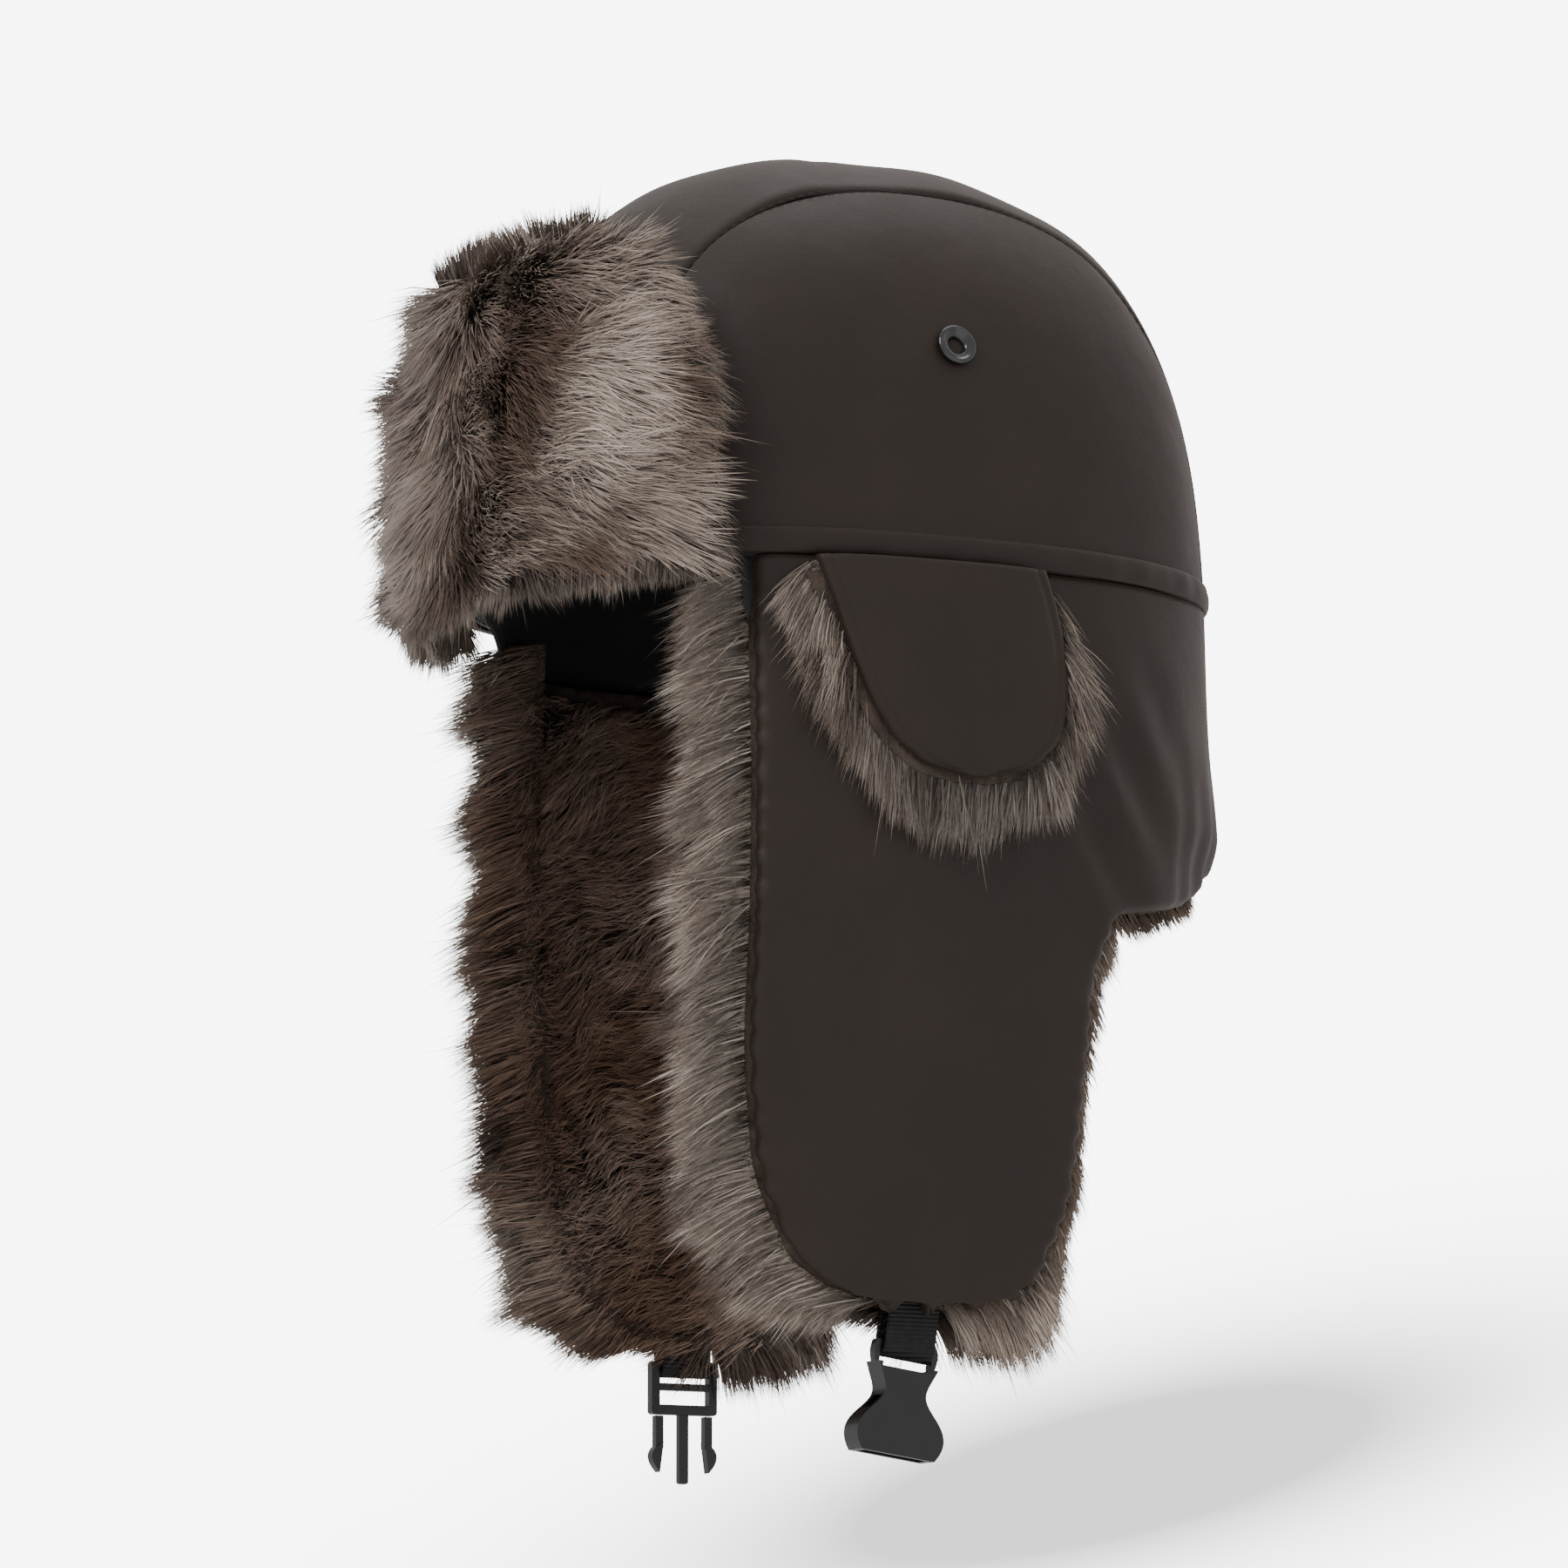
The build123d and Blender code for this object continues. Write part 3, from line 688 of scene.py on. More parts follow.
def pucker(grid, normals, sides):
    """Small gathers along sewn edges."""
    near = np.exp(-edge_distance(grid, sides) / (6 * MM))
    phase = (grid[..., 2] + 0.6 * grid[..., 1]) * 2 * math.pi / (9 * MM) + 1.8 * waves(grid, 0.03, 25)
    return grid + normals * (0.55 * MM * near * np.sin(phase))[..., None]


def quads(a):
    """Faces between neighbouring points of a grid of vertex numbers."""
    return np.stack([a[:-1, :-1], a[1:, :-1], a[1:, 1:], a[:-1, 1:]], -1).reshape(-1, 4).tolist()


def rim(a, b):
    """Faces between two rows of vertex numbers."""
    return np.stack([a[:-1], b[:-1], b[1:], a[1:]], -1).tolist()


def joined_slab(name, upper, lower, mat):
    """One closed padded sheet from the two skirt grids."""
    cols = FLAP_COLS
    n_up, n_low = outward_flat(upper), outward_flat(lower)
    n_up[-1, :cols] = unit(n_up[-1, :cols] + n_low[0])
    n_low[0] = n_up[-1, :cols]
    up_edge = edge_distance(upper, ("first_col",))
    hem = edge_distance(upper, ("last_row",))
    up_edge[:, cols:] = np.minimum(up_edge[:, cols:], hem[:, cols:])
    low_edge = edge_distance(lower, ("first_col", "last_col", "last_row"))
    verts, sizes = [], []
    for grid, n, edge in ((upper, n_up, up_edge), (lower[1:], n_low[1:], low_edge[1:])):
        roll = np.sqrt(1 - (1 - np.clip(edge / EDGE_ROLL, 0, 1)) ** 2)
        half = (SKIRT_CLOTH / 2 * np.maximum(roll, 0.15))[..., None]
        middle = grid - n * SKIRT_CLOTH / 2
        sizes.append(grid.shape[:2])
        verts += [(middle + n * half).reshape(-1, 3), (middle - n * half).reshape(-1, 3)]
    (m, n), (ml, nl) = sizes
    up_out = np.arange(m * n).reshape(m, n)
    up_in = up_out + m * n
    low_out = np.arange(ml * nl).reshape(ml, nl) + 2 * m * n
    low_in = low_out + ml * nl
    low_out = np.concatenate([up_out[-1:, :cols], low_out])
    low_in = np.concatenate([up_in[-1:, :cols], low_in])
    faces = quads(up_out) + quads(up_in) + quads(low_out) + quads(low_in)
    faces += rim(up_out[:, 0], up_in[:, 0]) + rim(up_out[0], up_in[0]) + rim(up_out[:, -1], up_in[:, -1])
    faces += rim(up_out[-1, cols - 1:], up_in[-1, cols - 1:])
    faces += rim(low_out[:, 0], low_in[:, 0]) + rim(low_out[:, -1], low_in[:, -1])
    faces += rim(low_out[-1], low_in[-1])
    obj = mesh_object(name, np.concatenate(verts), faces, mat)
    tidy_normals(obj)
    return obj


def outward_flat(grid):
    """Grid normals pointing away from the upright middle line."""
    n = grid_normals(grid)
    away = grid * np.array((1, 1, 0))
    return n * np.sign((n * away).sum(-1, keepdims=True) + 1e-9)


def span_fold(obj):
    """Bake a soft piece's placement into its mesh."""
    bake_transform(obj)


def make_skirt():
    """Cloth and fur backing of the skirt and flaps, one piece a side."""
    upper, lower = skirt_grids(0.0)
    upper = gather(fold_waves(upper, outward_flat(upper)), outward_flat(upper), 1.3 * MM)
    lower = fold_waves(lower, outward_flat(lower))
    upper = pucker(upper, outward_flat(upper), ("first_col",))
    lower = pucker(lower, outward_flat(lower), ("first_col", "last_col", "last_row"))
    lower[0] = upper[-1, :FLAP_COLS]
    back_upper, back_lower = skirt_grids(-5.4 * MM, -1 * MM, -1 * MM, -14 * MM, 1 * MM)
    for side, turn in SIDES:
        shell = joined_slab(f"skirt_cloth_{side}", turn(upper), turn(lower), NYLON)
        span_fold(shell)
        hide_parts("skirt_shell", "skirt_padding", "neck_elastic",
                    f"flap_shell_{side}", f"flap_padding_{side}")
        pelt = joined_slab(f"flap_pelt_{side}", turn(back_upper), turn(back_lower), PELT)
        span_fold(pelt)
        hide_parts("skirt_fur", f"flap_fur_{side}")


# Fur

BROWN = np.array((0.098, 0.058, 0.038))
# near-black that the strand roots are darkened towards: painted shade deep in the pile
ROOT_SHADE = np.array((0.030, 0.020, 0.015))
ASH = np.array((0.66, 0.56, 0.475))
RUST = np.array((0.21, 0.105, 0.052))
STEPS = np.array((0, 0.34, 0.68, 1.0))    # places along a strand
TAPER = np.array((1.0, 0.95, 0.62, 0.0))    # its width there
FADE = np.array((0, 0, 0.45, 0.45, 0.85, 0.85, 1.0))[None, :, None]    # root to tip blend at its 7 vertices, from the painted shade at the root to the tip tone
TURNED = np.array((-1, 1, -1, 1, -1, 1, 0))    # side of the strand of each vertex
STEP_OF = (0, 0, 1, 1, 2, 2, 3)    # step of each vertex
SWIRL, SCATTER = 0.26, 0.15    # how far the flow wanders, in patches and by strand
STRAYS = 0.015    # share of loose long strands
LOCK_SIZE, LOCK_PULL = 15, 0.32    # strands in a lock, and how far their tips close up


def pile(name, roots, normals, flow, length, seed, lift=0.55, width=0.44 * MM, pale=0.5, rusty=0.0,
         root_unshaded=0.3, limit=36000):
    """Fur strands: curved tapered blades that lean with the flow and gather in locks, darkened at the root as
    painted shade.
    """
    r = np.random.default_rng(seed)
    count = len(roots)
    flow = flow - normals * (flow * normals).sum(-1, keepdims=True) * 0.8
    swirl = np.stack([waves(roots, 0.03, seed + k) for k in range(3)], -1)
    flow = unit(unit(flow) + SWIRL * swirl + r.normal(0, SCATTER, (count, 3)))
    length = length * r.uniform(0.65, 1.15, count) * (1 + 0.18 * waves(roots, 0.02, seed + 5))
    stray = r.random(count) < STRAYS
    length = np.where(stray, length * 1.25, length)
    rise = lift * r.uniform(0.7, 1.3, (count, 1))
    start = unit(normals * rise + flow * 0.75)
    tip_dir = flow * 0.5 - normals * 0.22 * rise + np.array((0, 0, -0.12)) + r.normal(0, 0.09, (count, 3))
    line = roots[:, None] + length[:, None, None] * (
        STEPS[None, :, None] * start[:, None] + (STEPS ** 2)[None, :, None] * tip_dir[:, None] * 0.55)
    picks = r.choice(count, max(count // LOCK_SIZE, 1), replace=False)
    tree = KDTree(len(picks))
    for i, p in enumerate(picks):
        tree.insert(roots[p], i)
    tree.balance()
    lock = np.array([picks[tree.find(p)[1]] for p in roots])
    pull = LOCK_PULL * (STEPS ** 2)[None, :, None] * (~stray)[:, None, None]
    line += pull * (line[lock] - line)
    line = np.clip(line, FUR_LOW, FUR_HIGH)
    along = unit(np.gradient(line, axis=1))
    view = unit(normals[:, None] + r.normal(0, 0.45, (count, 1, 3)))
    across = unit(np.cross(along, view))
    blade = across * (TAPER * width / 2)[None, :, None] * r.uniform(0.6, 1.3, (count, 1, 1))
    left, right = line - blade, line + blade
    pairs = [edge[:, step] for step in range(3) for edge in (left, right)]
    verts = np.stack([*pairs, line[:, 3]], 1)
    patch = waves(roots * np.array((1, 1, 0.8)), 0.06, seed % 7 + 40)[:, None]
    streak = waves(roots, 0.014, seed + 9)[:, None] * 0.5 + r.normal(0, 0.35, (count, 1))
    light = np.clip(pale + 0.34 * patch + 0.24 * streak, 0, 1)
    body = BROWN * (1 - light) + ASH * light
    body = body * (1 - rusty) + RUST * rusty * r.uniform(0.7, 1.2, (count, 1))
    body = body * r.uniform(0.75, 1.2, (count, 1))
    # painted shade: each strand is darkened at its root, for the shade deep in the pile, and keeps only the
    # given share of its own colour there. The tip is a little lighter than the body.
    shaded_root = ROOT_SHADE * (1 - root_unshaded) + body * root_unshaded
    tip_tone = np.clip(body * 1.22 + 0.015, 0, 1)
    colour = shaded_root[:, None] * (1 - FADE) + tip_tone[:, None] * FADE
    shade = unit(normals[:, None] * 0.9 + along[:, STEP_OF] * 0.25
                 + across[:, STEP_OF] * (0.35 * TURNED)[None, :, None])
    pieces = []
    for part, first in enumerate(range(0, count, limit)):
        keep = slice(first, first + limit)
        pieces.append(strand_mesh(f"{name}_{part + 1}", verts[keep], colour[keep], shade[keep]))
    return pieces


def strand_mesh(name, verts, colour, shade):
    """Mesh of many blades, with a colour at each point and one UV cell a blade."""
    count = len(verts)
    quad = np.array(((0, 1, 3, 2), (2, 3, 5, 4)))
    base = (np.arange(count) * 7)[:, None]
    loops = np.concatenate([(base + quad[0]), (base + quad[1]), (base + np.array((4, 5, 6)))], 1)
    mesh = bpy.data.meshes.new(name)
    mesh.vertices.add(count * 7)
    mesh.vertices.foreach_set("co", verts.ravel())
    mesh.loops.add(count * 11)
    mesh.loops.foreach_set("vertex_index", loops.ravel().astype(np.int32))
    mesh.polygons.add(count * 3)
    starts = (np.arange(count) * 11)[:, None] + np.array((0, 4, 8))
    mesh.polygons.foreach_set("loop_start", starts.ravel().astype(np.int32))
    mesh.update(calc_edges=True)
    mesh.polygons.foreach_set("use_smooth", np.ones(count * 3, bool))
    layer = mesh.color_attributes.new("pile_colour", "FLOAT_COLOR", "POINT")
    rgba = np.concatenate([colour, np.ones((*colour.shape[:2], 1))], -1)
    layer.data.foreach_set("color", rgba.ravel().astype(np.float32))
    cells = math.ceil(math.sqrt(count))
    corner = np.stack([np.arange(count) % cells, np.arange(count) // cells], -1)[:, None] / cells
    inside = np.array(((0.2, 0.1), (0.8, 0.1), (0.8, 0.4), (0.2, 0.4), (0.2, 0.4), (0.8, 0.4), (0.75, 0.7),
                       (0.25, 0.7), (0.25, 0.7), (0.75, 0.7), (0.5, 0.95))) / cells
    uv = mesh.uv_layers.new(name="OFBake")
    uv.data.foreach_set("uv", (corner + inside).ravel().astype(np.float32))
    mesh.normals_split_custom_set_from_vertices(shade.reshape(-1, 3).tolist())
    obj = link_object(name, mesh)
    obj.data.materials.append(FUR)
    return obj


def read_cells(grid, i, j, u, v):
    """Values inside grid cells (i, j), at shares u down and v across them."""
    return (grid[i, j] * (1 - u) * (1 - v) + grid[i + 1, j] * u * (1 - v) + grid[i, j + 1] * (1 - u) * v
            + grid[i + 1, j + 1] * u * v)


def scatter(grid, normals, per_mm2, seed):
    """Random points over a grid, evenly by area, with their normals."""
    r = np.random.default_rng(seed)
    a = np.linalg.norm(np.cross(grid[1:, :-1] - grid[:-1, :-1], grid[:-1, 1:] - grid[:-1, :-1]), axis=-1)
    number = int(a.sum() / MM ** 2 * per_mm2 * THIN)
    cell = r.choice(a.size, number, p=(a / a.sum()).ravel())
    i, j = np.unravel_index(cell, a.shape)
    u, v = r.random((number, 1)), r.random((number, 1))
    return read_cells(grid, i, j, u, v), unit(read_cells(normals, i, j, u, v))


def edge_points(path, out, number, seed, depth=4 * MM):
    """Random points along a border path, with directions that point out of it."""
    r = np.random.default_rng(seed)
    number = int(number * THIN)
    run = path_run(path)
    s = r.uniform(0, run[-1], number)
    out = along_path(s, run, out)
    return along_path(s, run, path) - out * r.uniform(0, depth, (number, 1)), unit(out)


def make_flap_fur():
    """Pile on the head side of the skirt and flaps, and round their edges."""
    upper, lower = skirt_grids(-10.4 * MM, -0.5 * MM, -0.5 * MM, -18 * MM, 1 * MM)
    high_upper = skirt_grids(-10.4 * MM, -0.5 * MM, -0.5 * MM, -4 * MM, 1 * MM)[0]
    for side, turn in SIDES:
        seed = 100 if side == "left" else 200
        made = []
        for k, grid in enumerate((turn(upper), turn(lower))):
            roots, n = scatter(grid, -outward_flat(grid), 1.0 if k else 0.8, seed + k)
            flow = same((0, -0.9, -0.35), roots)
            made += pile(f"flap_pile_{side}_{'low' if k else 'up'}", roots, n, flow, 17 * MM, seed + 10 + k,
                         lift=0.6, pale=0.16, rusty=0.5)
        front = np.concatenate([turn(high_upper)[:, 0], turn(lower)[1:, 0]])
        forward = same((0, -1, 0), front)
        foot = turn(lower)[-1]
        foot_out = same((0, 0.05, -1), foot)
        rear = turn(lower)[::-1, -1]
        rear_out = same((0, 1, -0.35), rear)
        border = np.concatenate([front, foot[1:], rear[1:]])
        out = eased(np.concatenate([forward, foot_out[1:], rear_out[1:]]), 14)
        cloth = np.array((SIGN[side], 0, 0))
        # painted light and shade: the left flap's edge fur is made paler and the right flap's darker, for how
        # the light falls on the near and far side
        side_light_shift = 0.25 if side == "left" else -0.25
        for k, (shift, number, size, pale) in enumerate(((3.9, 13000, 21, 1.0), (0.6, 12000, 23, 0.9),
                                                        (-5, 10500, 23, 0.3))):
            roots, o = edge_points(border + cloth * shift * MM, unit(out), number, seed + 20 + k)
            clear = (np.abs(roots[:, 1] - STRAP_Y) > STRAP_HALF) | (roots[:, 2] > STRAP_FREE) | (k == 2)
            roots, o = roots[clear], o[clear]
            n = unit(o + cloth * 0.04 * (1 - 3 * k))
            flow = o * 0.7 + np.array((0, -0.3, -0.16))
            behind = smooth((roots[:, 1] - 0.02) / 0.02)
            reach = size * MM * (1 - 0.5 * behind) * (1 - 0.25 * smooth((-roots[:, 2] - 0.2) / 0.02))
            made += pile(f"flap_edge_{side}_{k + 1}", roots, n, flow, reach, seed + 30 + k, lift=0.9,
                         pale=pale + side_light_shift, rusty=0.4 if k == 2 else 0.0, root_unshaded=0.45 if k == 2 else 1.0)
        hem = turn(upper)[-1, FLAP_COLS - 1:]
        roots, o = edge_points(hem, same((0, 0, -1), hem), 2600, seed + 50)
        made += pile(f"neck_edge_{side}", roots, o, same((0, 0.2, -1), roots), 8 * MM, seed + 51, lift=0.6,
                     rusty=0.75)
        for obj in made:
            span_fold(obj)


# Visor

VISOR_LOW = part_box("visor_fur")[0][2] + 9 * MM
VISOR_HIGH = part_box("visor_fur")[1][2] - 2 * MM
BORDERS = ("first_row", "last_row", "first_col", "last_col")
VISOR_END_Y = -93 * MM


def visor_grid(extra, trim=0.0):
    """Visor surface that stands extra(z) off the crown, end to end."""
    v = np.linspace(0, 1, 64)[:, None]
    z = VISOR_LOW + (VISOR_HIGH - VISOR_LOW) * v
    k = crown_narrowing(z)
    stand = extra(z)
    a, b = A * k + stand, B * k + stand
    lean = VISOR_END_Y - 5 * MM * v - trim - 8 * MM * smooth((v - 0.86) / 0.14) ** 2
    lean = lean + 1.8 * MM * np.sin(v * 13 + 0.7)
    share = np.clip(-lean / b, 0, 0.999)
    end = np.arccos(1 / np.sqrt(1 + (share / np.maximum(1 - share ** P, 1e-6) ** (1 / P)) ** 2))
    w = np.linspace(0, 1, 150)[None, :]
    turn = -math.pi + end + (math.pi - 2 * end) * w
    x, y = plan_ring(turn, a, b)
    return np.stack([x, y, z + 0 * x], -1)


def fur_stand(z):
    """How far the fur's backing stands off the crown."""
    return curve(z, (-0.010, 0.014, 0.040, 0.066, 0.086, 0.101),
                 np.array((10.0, 14.5, 17, 19.5, 23, 22)) * MM)


def make_visor():
    """Fold-up visor: a cloth board, its fur backing and the long pile."""
    board = visor_grid(lambda z: 8.5 * MM + 0 * z, trim=2 * MM)
    n = outward(board, (0, 0, 0.04))
    obj = slab("visor_board", board, n, 4.2 * MM, NYLON, BORDERS, 3 * MM)
    dress(obj, "visor", ["visor_shell", "visor_padding"])
    outer = visor_grid(fur_stand)
    n = outward(outer, (0, 0, 0.04))
    dent = sum(np.exp(-((outer[..., 0] - s * 0.058) / 0.013) ** 2 - ((outer[..., 2] - 0.074) / 0.004) ** 2)
               for s in (1, -1))
    outer = outer - n * (5 * MM * dent)[..., None]
    pelt = slab("visor_pelt", outer, n, 7 * MM, PELT, BORDERS, 7 * MM)
    dress(pelt, "visor", ["visor_fur"])
    roots, normals = scatter(outer, n, 1.45, 301)
    parting = roots[:, :1] + 12 * MM * waves(roots, 0.045, 305)[:, None]
    sweep = 2 * smooth((parting + 0.022) / 0.044) - 1
    tangent = unit(np.cross(same((0, 0, 1), normals), normals))
    flow = tangent * sweep + np.array((0, 0, -1.0)) * (0.8 - 0.58 * np.abs(sweep))
    across, above = (np.abs(roots[:, 0]) - 0.07) / 0.015, (roots[:, 2] - 0.044) / 0.028
    grey = 0.27 + 0.78 * np.exp(-across ** 2 - above ** 2)
    low = smooth((0.0 - roots[:, 2]) / 0.015)
    made = pile("visor_pile", roots, normals, flow, 17 * MM, 302, lift=0.36,
                pale=(grey + 0.14 * low)[:, None], rusty=0.1, root_unshaded=0.6)
    border = np.concatenate([outer[0], outer[1:, -1], outer[-1, ::-1][1:], outer[::-1, 0][1:]])
    out_low = same((0, -0.25, -1), outer[0])
    end = unit(np.cross(same((0, 0, 1), n[:, -1]), n[:, -1]))
    start = unit(-np.cross(same((0, 0, 1), n[:, 0]), n[:, 0]))
    out_top = same((0, -0.1, 1), outer[-1])
    out = eased(np.concatenate([out_low, end[1:], out_top[1:], start[::-1][1:]]), 8)
    inner_n = np.concatenate([n[0], n[1:, -1], n[-1, ::-1][1:], n[::-1, 0][1:]])
    for k, (shift, number, size) in enumerate(((0.5, 9500, 17), (3.5, 9500, 17), (6.5, 7500, 15))):
        roots, o = edge_points(border - inner_n * shift * MM, out, number, 310 + k, 3 * MM)
        flow = o * 0.8 + np.array((0, 0, -0.2))
        high = smooth((roots[:, 2] - 0.085) / 0.012)
        near_foot = smooth((VISOR_LOW + 7 * MM - roots[:, 2]) / (7 * MM))
        reach = size * MM * (1 - 0.35 * high) * (1 - 0.45 * near_foot)
        made += pile(f"visor_edge_{k + 1}", roots, o, flow, reach, 320 + k, lift=0.8, pale=0.45, rusty=0.1,
                     root_unshaded=0.6)
    for obj in made:
        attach(obj, "visor")


# Ear covers

COVER_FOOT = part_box("ear_cover_shell_left")[0][2] - 1 * MM
COVER_EDGES = ("first_col", "last_col", "last_row")


def cover_grid(stand, grow=0.0, top=-1.2 * MM):
    """Left ear cover: a half round that hangs over the ear."""
    s = (1 - (1 - np.linspace(0, 1, 84)) ** 1.7)[:, None]
    z = top + (COVER_FOOT - grow - top) * s
    front = curve(s, (0, 0.2, 0.5, 0.75, 0.9, 0.97, 1),
                  np.array((-54, -49.5, -43.5, -36, -27.5, -19, -9)) * MM)
    rear = curve(s, (0, 0.2, 0.42, 0.68, 0.86, 0.96, 1), np.array((20.5, 24.5, 26.5, 25, 18.5, 8, -4)) * MM)
    w = np.linspace(0, 1, 96)[None, :]
    y = (front - grow) + (rear - front + 2 * grow) * w
    out = stand + 5 * MM * s
    return np.stack([plan_x(y, out), y, z + 0 * y], -1)


def make_ear_covers():
    """Cloth, fur backing and fringe of both ear covers."""
    grid = cover_grid(8.0 * MM)
    n = outward_flat(grid)
    swell = np.clip(edge_distance(grid, COVER_EDGES) / (22 * MM), 0, 1)
    grid = grid + n * (1.4 * MM * np.sin(swell * math.pi / 2) + 0.35 * MM * waves(grid, 0.04, 61))[..., None]
    near_edge = edge_distance(grid, COVER_EDGES)
    grid = grid - n * (0.55 * MM * np.exp(-((near_edge - 4 * MM) / (1.2 * MM)) ** 2))[..., None]
    for side, turn in SIDES:
        body = f"ear_cover_{side}"
        seed = 400 if side == "left" else 500
        obj = slab(f"cover_cloth_{side}", turn(grid), turn(n), 4.5 * MM, NYLON, COVER_EDGES, 3.5 * MM)
        dress(obj, body, [f"ear_cover_shell_{side}"])
        under = turn(cover_grid(4.8 * MM, 2 * MM, -6 * MM))
        pelt = slab(f"cover_pelt_{side}", under, outward_flat(under), 1.6 * MM, PELT, COVER_EDGES, 1.5 * MM)
        dress(pelt, body, [f"ear_cover_fur_{side}"])
        base = turn(cover_grid(3.6 * MM, 0.5 * MM, -3 * MM))
        border = np.concatenate([base[:, 0], base[-1, 1:], base[::-1, -1][1:]])
        centre = np.array((0, -0.012, -0.018))
        out = (border - centre) * np.array((0, 1, 1))
        out[:, 2] = np.minimum(out[:, 2], -0.2 * np.abs(out[:, 1]))
        out = unit(out)
        side_out = np.array((SIGN[side], 0, 0))
        made = []
        for k, (shift, number, size) in enumerate(((-1.6, 6000, 16), (-0.6, 6000, 18), (0.5, 5200, 17))):
            roots, o = edge_points(border + side_out * shift * MM, out, number, seed + k, 5 * MM)
            flow = o * 0.75 + np.array((0, 0, -0.45))
            made += pile(f"cover_fringe_{side}_{k + 1}", roots, unit(o + side_out * 0.1), flow, size * MM,
                         seed + 10 + k, lift=0.6, pale=0.55, root_unshaded=0.6)
        for obj in made:
            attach(obj, body)


# Straps, buckle, small parts

def bevelled_copy(node, name, body, mat, width):
    """Copy of a moulded CAD piece with its edges broken."""
    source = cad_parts[node]
    mesh = source.data.copy()
    mesh.name = name
    mesh.materials.clear()
    mesh.materials.append(mat)
    bm = bmesh.new()
    bm.from_mesh(mesh)
    bmesh.ops.remove_doubles(bm, verts=bm.verts, dist=1e-6)
    bmesh.ops.dissolve_limit(bm, angle_limit=math.radians(4), verts=bm.verts, edges=bm.edges)
    bm.to_mesh(mesh)
    bm.free()
    obj = link_object(name, mesh)
    bevel = obj.modifiers.new("edge", "BEVEL")
    bevel.width = width
    bevel.segments = 3
    bevel.limit_method = "ANGLE"
    bevel.angle_limit = math.radians(40)
    bevel.harden_normals = False
    obj.modifiers.new("shade", "WEIGHTED_NORMAL")
    mesh.polygons.foreach_set("use_smooth", [True] * len(mesh.polygons))
    dress(obj, body, [node])


def make_buckle():
    """Buckle, straps and the finish of the small metal parts."""
    bevelled_copy("buckle_socket", "socket_body", "chin_strap_left", PLASTIC, 0.5 * MM)
    bevelled_copy("buckle_plug", "plug_body", "chin_strap_right", PLASTIC, 0.35 * MM)
    for arm in ("arm_front", "arm_rear"):
        bevelled_copy(f"buckle_{arm}", f"plug_{arm}", arm, PLASTIC, 0.3 * MM)
    for side in SIGN:
        bevelled_copy(f"strap_{side}", f"webbing_{side}", f"chin_strap_{side}", WEBBING, 0.3 * MM)
    for node in ("eyelet_washer_left", "eyelet_washer_right", "visor_snap_stud_left", "visor_snap_stud_right",
                 "visor_snap_socket_left", "visor_snap_socket_right"):
        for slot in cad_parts[node].material_slots:
            slot.material = ENAMEL


# Stage

CAMERA_AZIMUTH, CAMERA_ELEVATION = math.radians(62.5), math.radians(-10)
CAMERA_DISTANCE, CAMERA_LENS = 2.3, 172.5
AIM_RIGHT, AIM_UP = -0.0133, -0.0517    # where the camera looks, from the frame's origin
BACKDROP_BRIGHT, SHADOW_BRIGHT = 7.6, 1.5
SHADOW_RIGHT, SHADOW_UP = 0.1, -0.21    # middle of the shadow, in metres at the hat's distance
SHADOW_LEAN = math.radians(14)
SHADOW_LENGTH, SHADOW_HEIGHT = 0.14, 0.033
SHADOW_FLATNESS = 1.25    # over 1, the middle is flat
FLOOR_HALF, FLOOR_Z = 6, -0.75


def add_area_light(name, place, size, power):
    """Square light that faces the hat."""
    light = bpy.data.lights.new(name, "AREA")
    light.size = size
    light.energy = power
    obj = link_object(name, light)
    obj.location = place
    obj.rotation_euler = (Vector(place) - Vector((0, 0, -0.05))).to_track_quat("Z", "Y").to_euler()


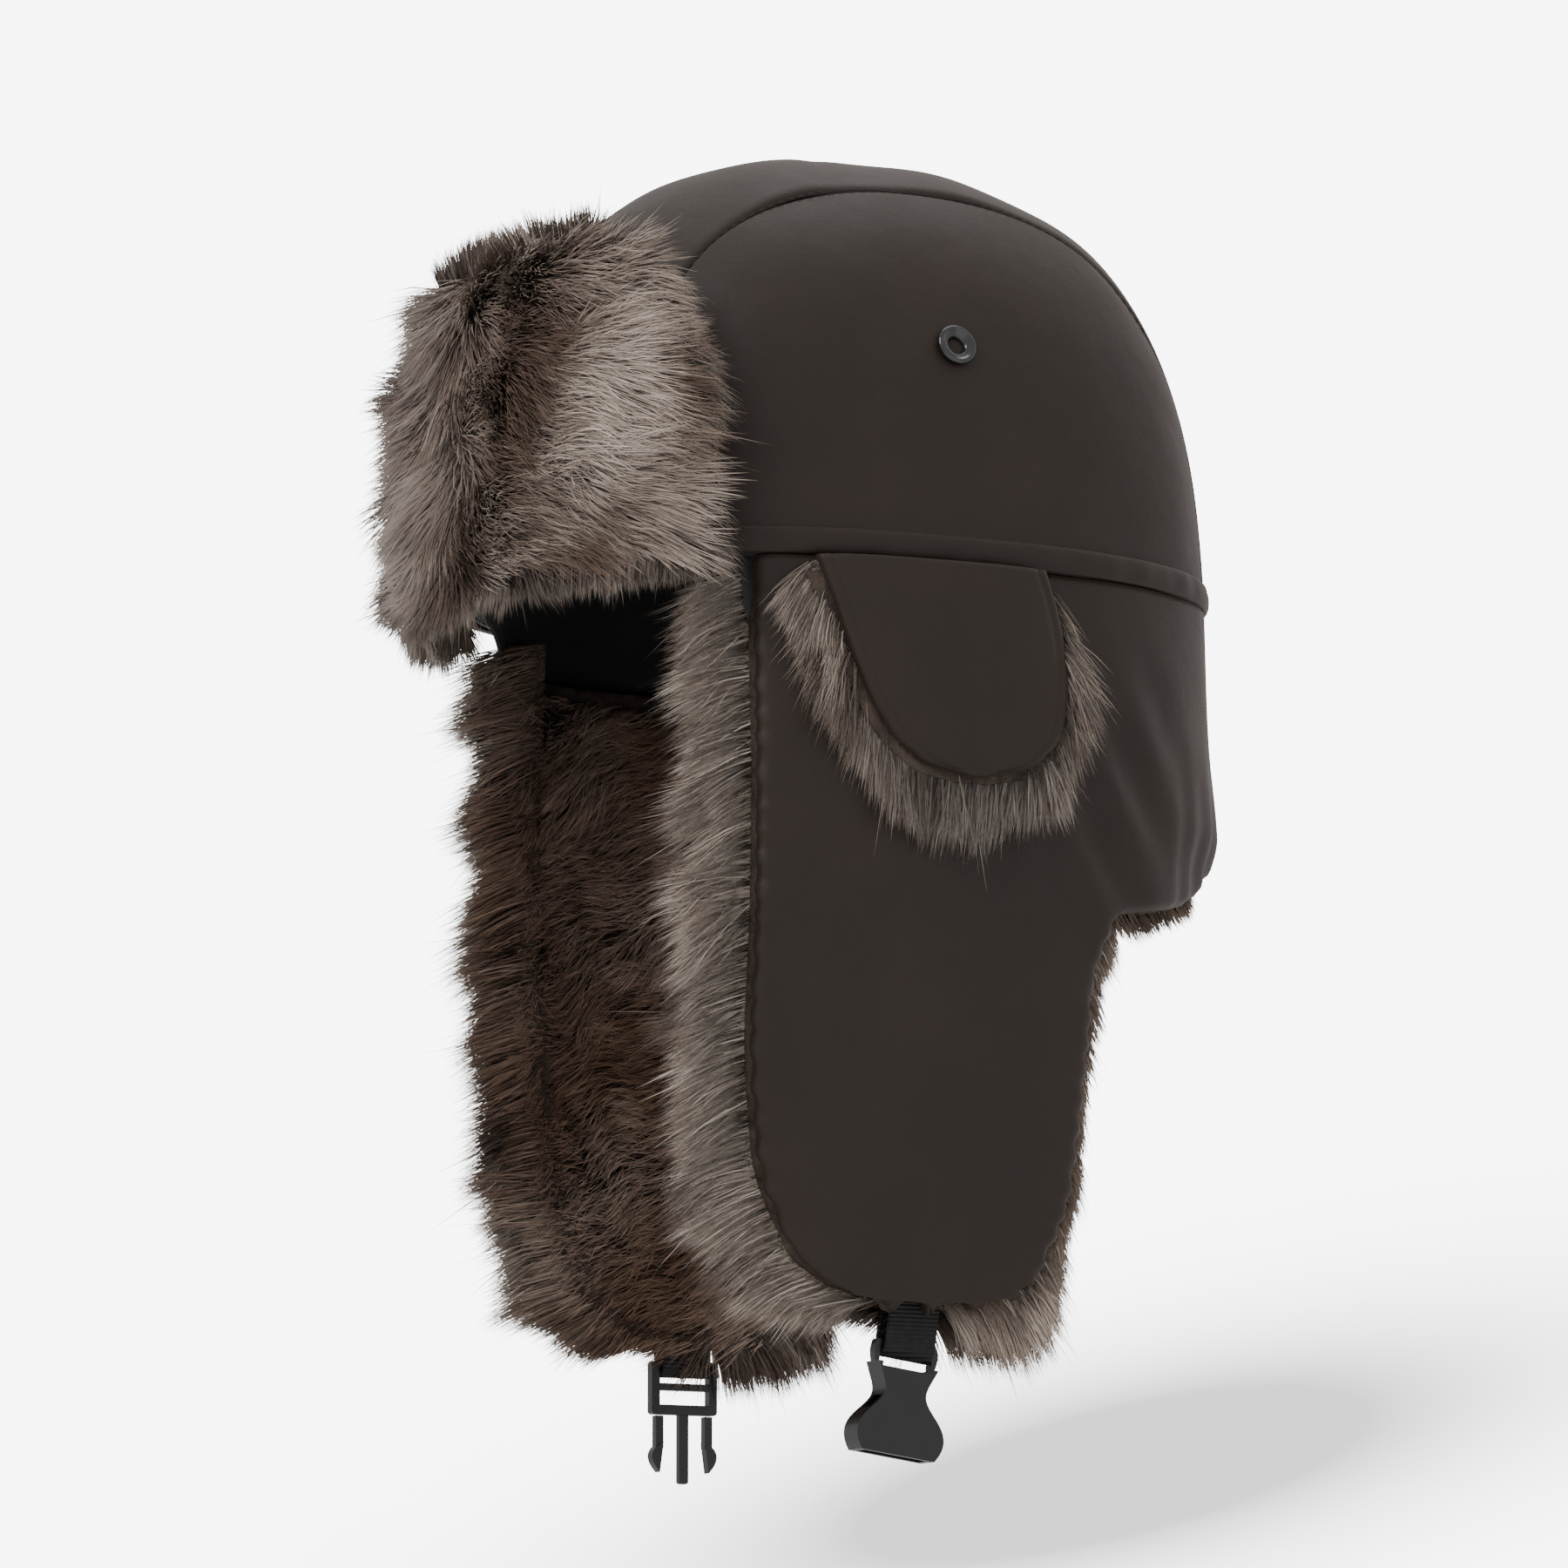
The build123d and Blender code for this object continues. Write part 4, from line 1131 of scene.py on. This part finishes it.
def make_stage():
    """Camera, lights, backdrop and floor."""
    azimuth, elevation = CAMERA_AZIMUTH, CAMERA_ELEVATION
    toward = Vector((math.sin(azimuth) * math.cos(elevation), -math.cos(azimuth) * math.cos(elevation),
                     math.sin(elevation)))
    right = Vector((math.cos(azimuth), math.sin(azimuth), 0))
    up = toward.cross(right)
    data = bpy.data.cameras.new("camera")
    data.lens = CAMERA_LENS
    data.clip_end = 50
    camera = link_object("camera", data)
    target = right * AIM_RIGHT + up * AIM_UP
    camera.location = toward * CAMERA_DISTANCE
    camera.rotation_euler = (camera.location - target).to_track_quat("Z", "Y").to_euler()
    bpy.context.scene.camera = camera
    add_area_light("key", toward * 1.2 - right * 1.3 + up * 1.7, 1.1, 26)
    add_area_light("fill", toward * 1.8 + right * 1.2 + up * 0.2, 1.6, 3.5)
    add_area_light("top", Vector((-0.2, 0.3, 1.8)), 1.2, 8)
    world = bpy.data.worlds.new("studio")
    world.use_nodes = True
    tree = world.node_tree
    background = tree.nodes["Background"]
    background.inputs["Color"].default_value = (0.9, 0.9, 0.9, 1)
    background.inputs["Strength"].default_value = 0.9
    backdrop = tree.nodes.new("ShaderNodeBackground")
    backdrop.inputs["Color"].default_value = (1, 1, 1, 1)
    shade_backdrop(tree, backdrop, camera)
    path = tree.nodes.new("ShaderNodeLightPath")
    choose = tree.nodes.new("ShaderNodeMixShader")
    for k, socket in enumerate((path.outputs["Is Camera Ray"], background.outputs[0], backdrop.outputs[0])):
        tree.links.new(socket, choose.inputs[k])
    tree.links.new(choose.outputs[0], tree.nodes["World Output"].inputs["Surface"])
    bpy.context.scene.world = world
    corners = [(x * FLOOR_HALF, y * FLOOR_HALF, FLOOR_Z) for x, y in ((-1, -1), (1, -1), (1, 1), (-1, 1))]
    floor = mesh_object("floor", corners, [(0, 1, 2, 3)], floor_material(), False)


def math_node(tree, operation, *values):
    """Output of a math node whose inputs are given as numbers or as sockets."""
    node = tree.nodes.new("ShaderNodeMath")
    node.operation = operation
    for socket, value in zip(node.inputs, values):
        if isinstance(value, (int, float)):
            socket.default_value = value
        else:
            tree.links.new(value, socket)
    return node.outputs[0]


def shade_backdrop(tree, backdrop, camera):
    """White backdrop with a soft leaning shadow low on the right, as far away as the hat."""
    turn = camera.rotation_euler.to_matrix()
    right, up = turn @ Vector((1, 0, 0)), turn @ Vector((0, 1, 0))
    middle = right * SHADOW_RIGHT + up * SHADOW_UP
    place = tree.nodes.new("ShaderNodeTexCoord")
    squares = []
    for axis, spread in ((right * math.cos(SHADOW_LEAN) + up * math.sin(SHADOW_LEAN), SHADOW_LENGTH),
                         (up * math.cos(SHADOW_LEAN) - right * math.sin(SHADOW_LEAN), SHADOW_HEIGHT)):
        dot = tree.nodes.new("ShaderNodeVectorMath")
        dot.operation = "DOT_PRODUCT"
        dot.inputs[1].default_value = axis * camera.location.length / spread
        tree.links.new(place.outputs["Generated"], dot.inputs[0])
        offset = math_node(tree, "SUBTRACT", dot.outputs["Value"], middle.dot(axis) / spread)
        squares.append(math_node(tree, "MULTIPLY", offset, offset))
    fall = math_node(tree, "POWER", 0.5, math_node(tree, "ADD", *squares))
    flat = math_node(tree, "MULTIPLY", fall, SHADOW_FLATNESS)
    flat.node.use_clamp = True
    bright = math_node(tree, "MULTIPLY_ADD", flat, SHADOW_BRIGHT - BACKDROP_BRIGHT, BACKDROP_BRIGHT)
    tree.links.new(bright, backdrop.inputs["Strength"])


def floor_material():
    mat, nodes, links, shader = material("pale_floor", 0.9)
    add_tone(nodes, links, shader, add_noise(nodes, links, 3), (0.86, 0.86, 0.86), (0.88, 0.88, 0.88))
    return mat


make_crown()
make_lining()
make_band()
make_eyelets()
make_skirt()
make_flap_fur()
make_visor()
make_ear_covers()
make_buckle()
make_stage()
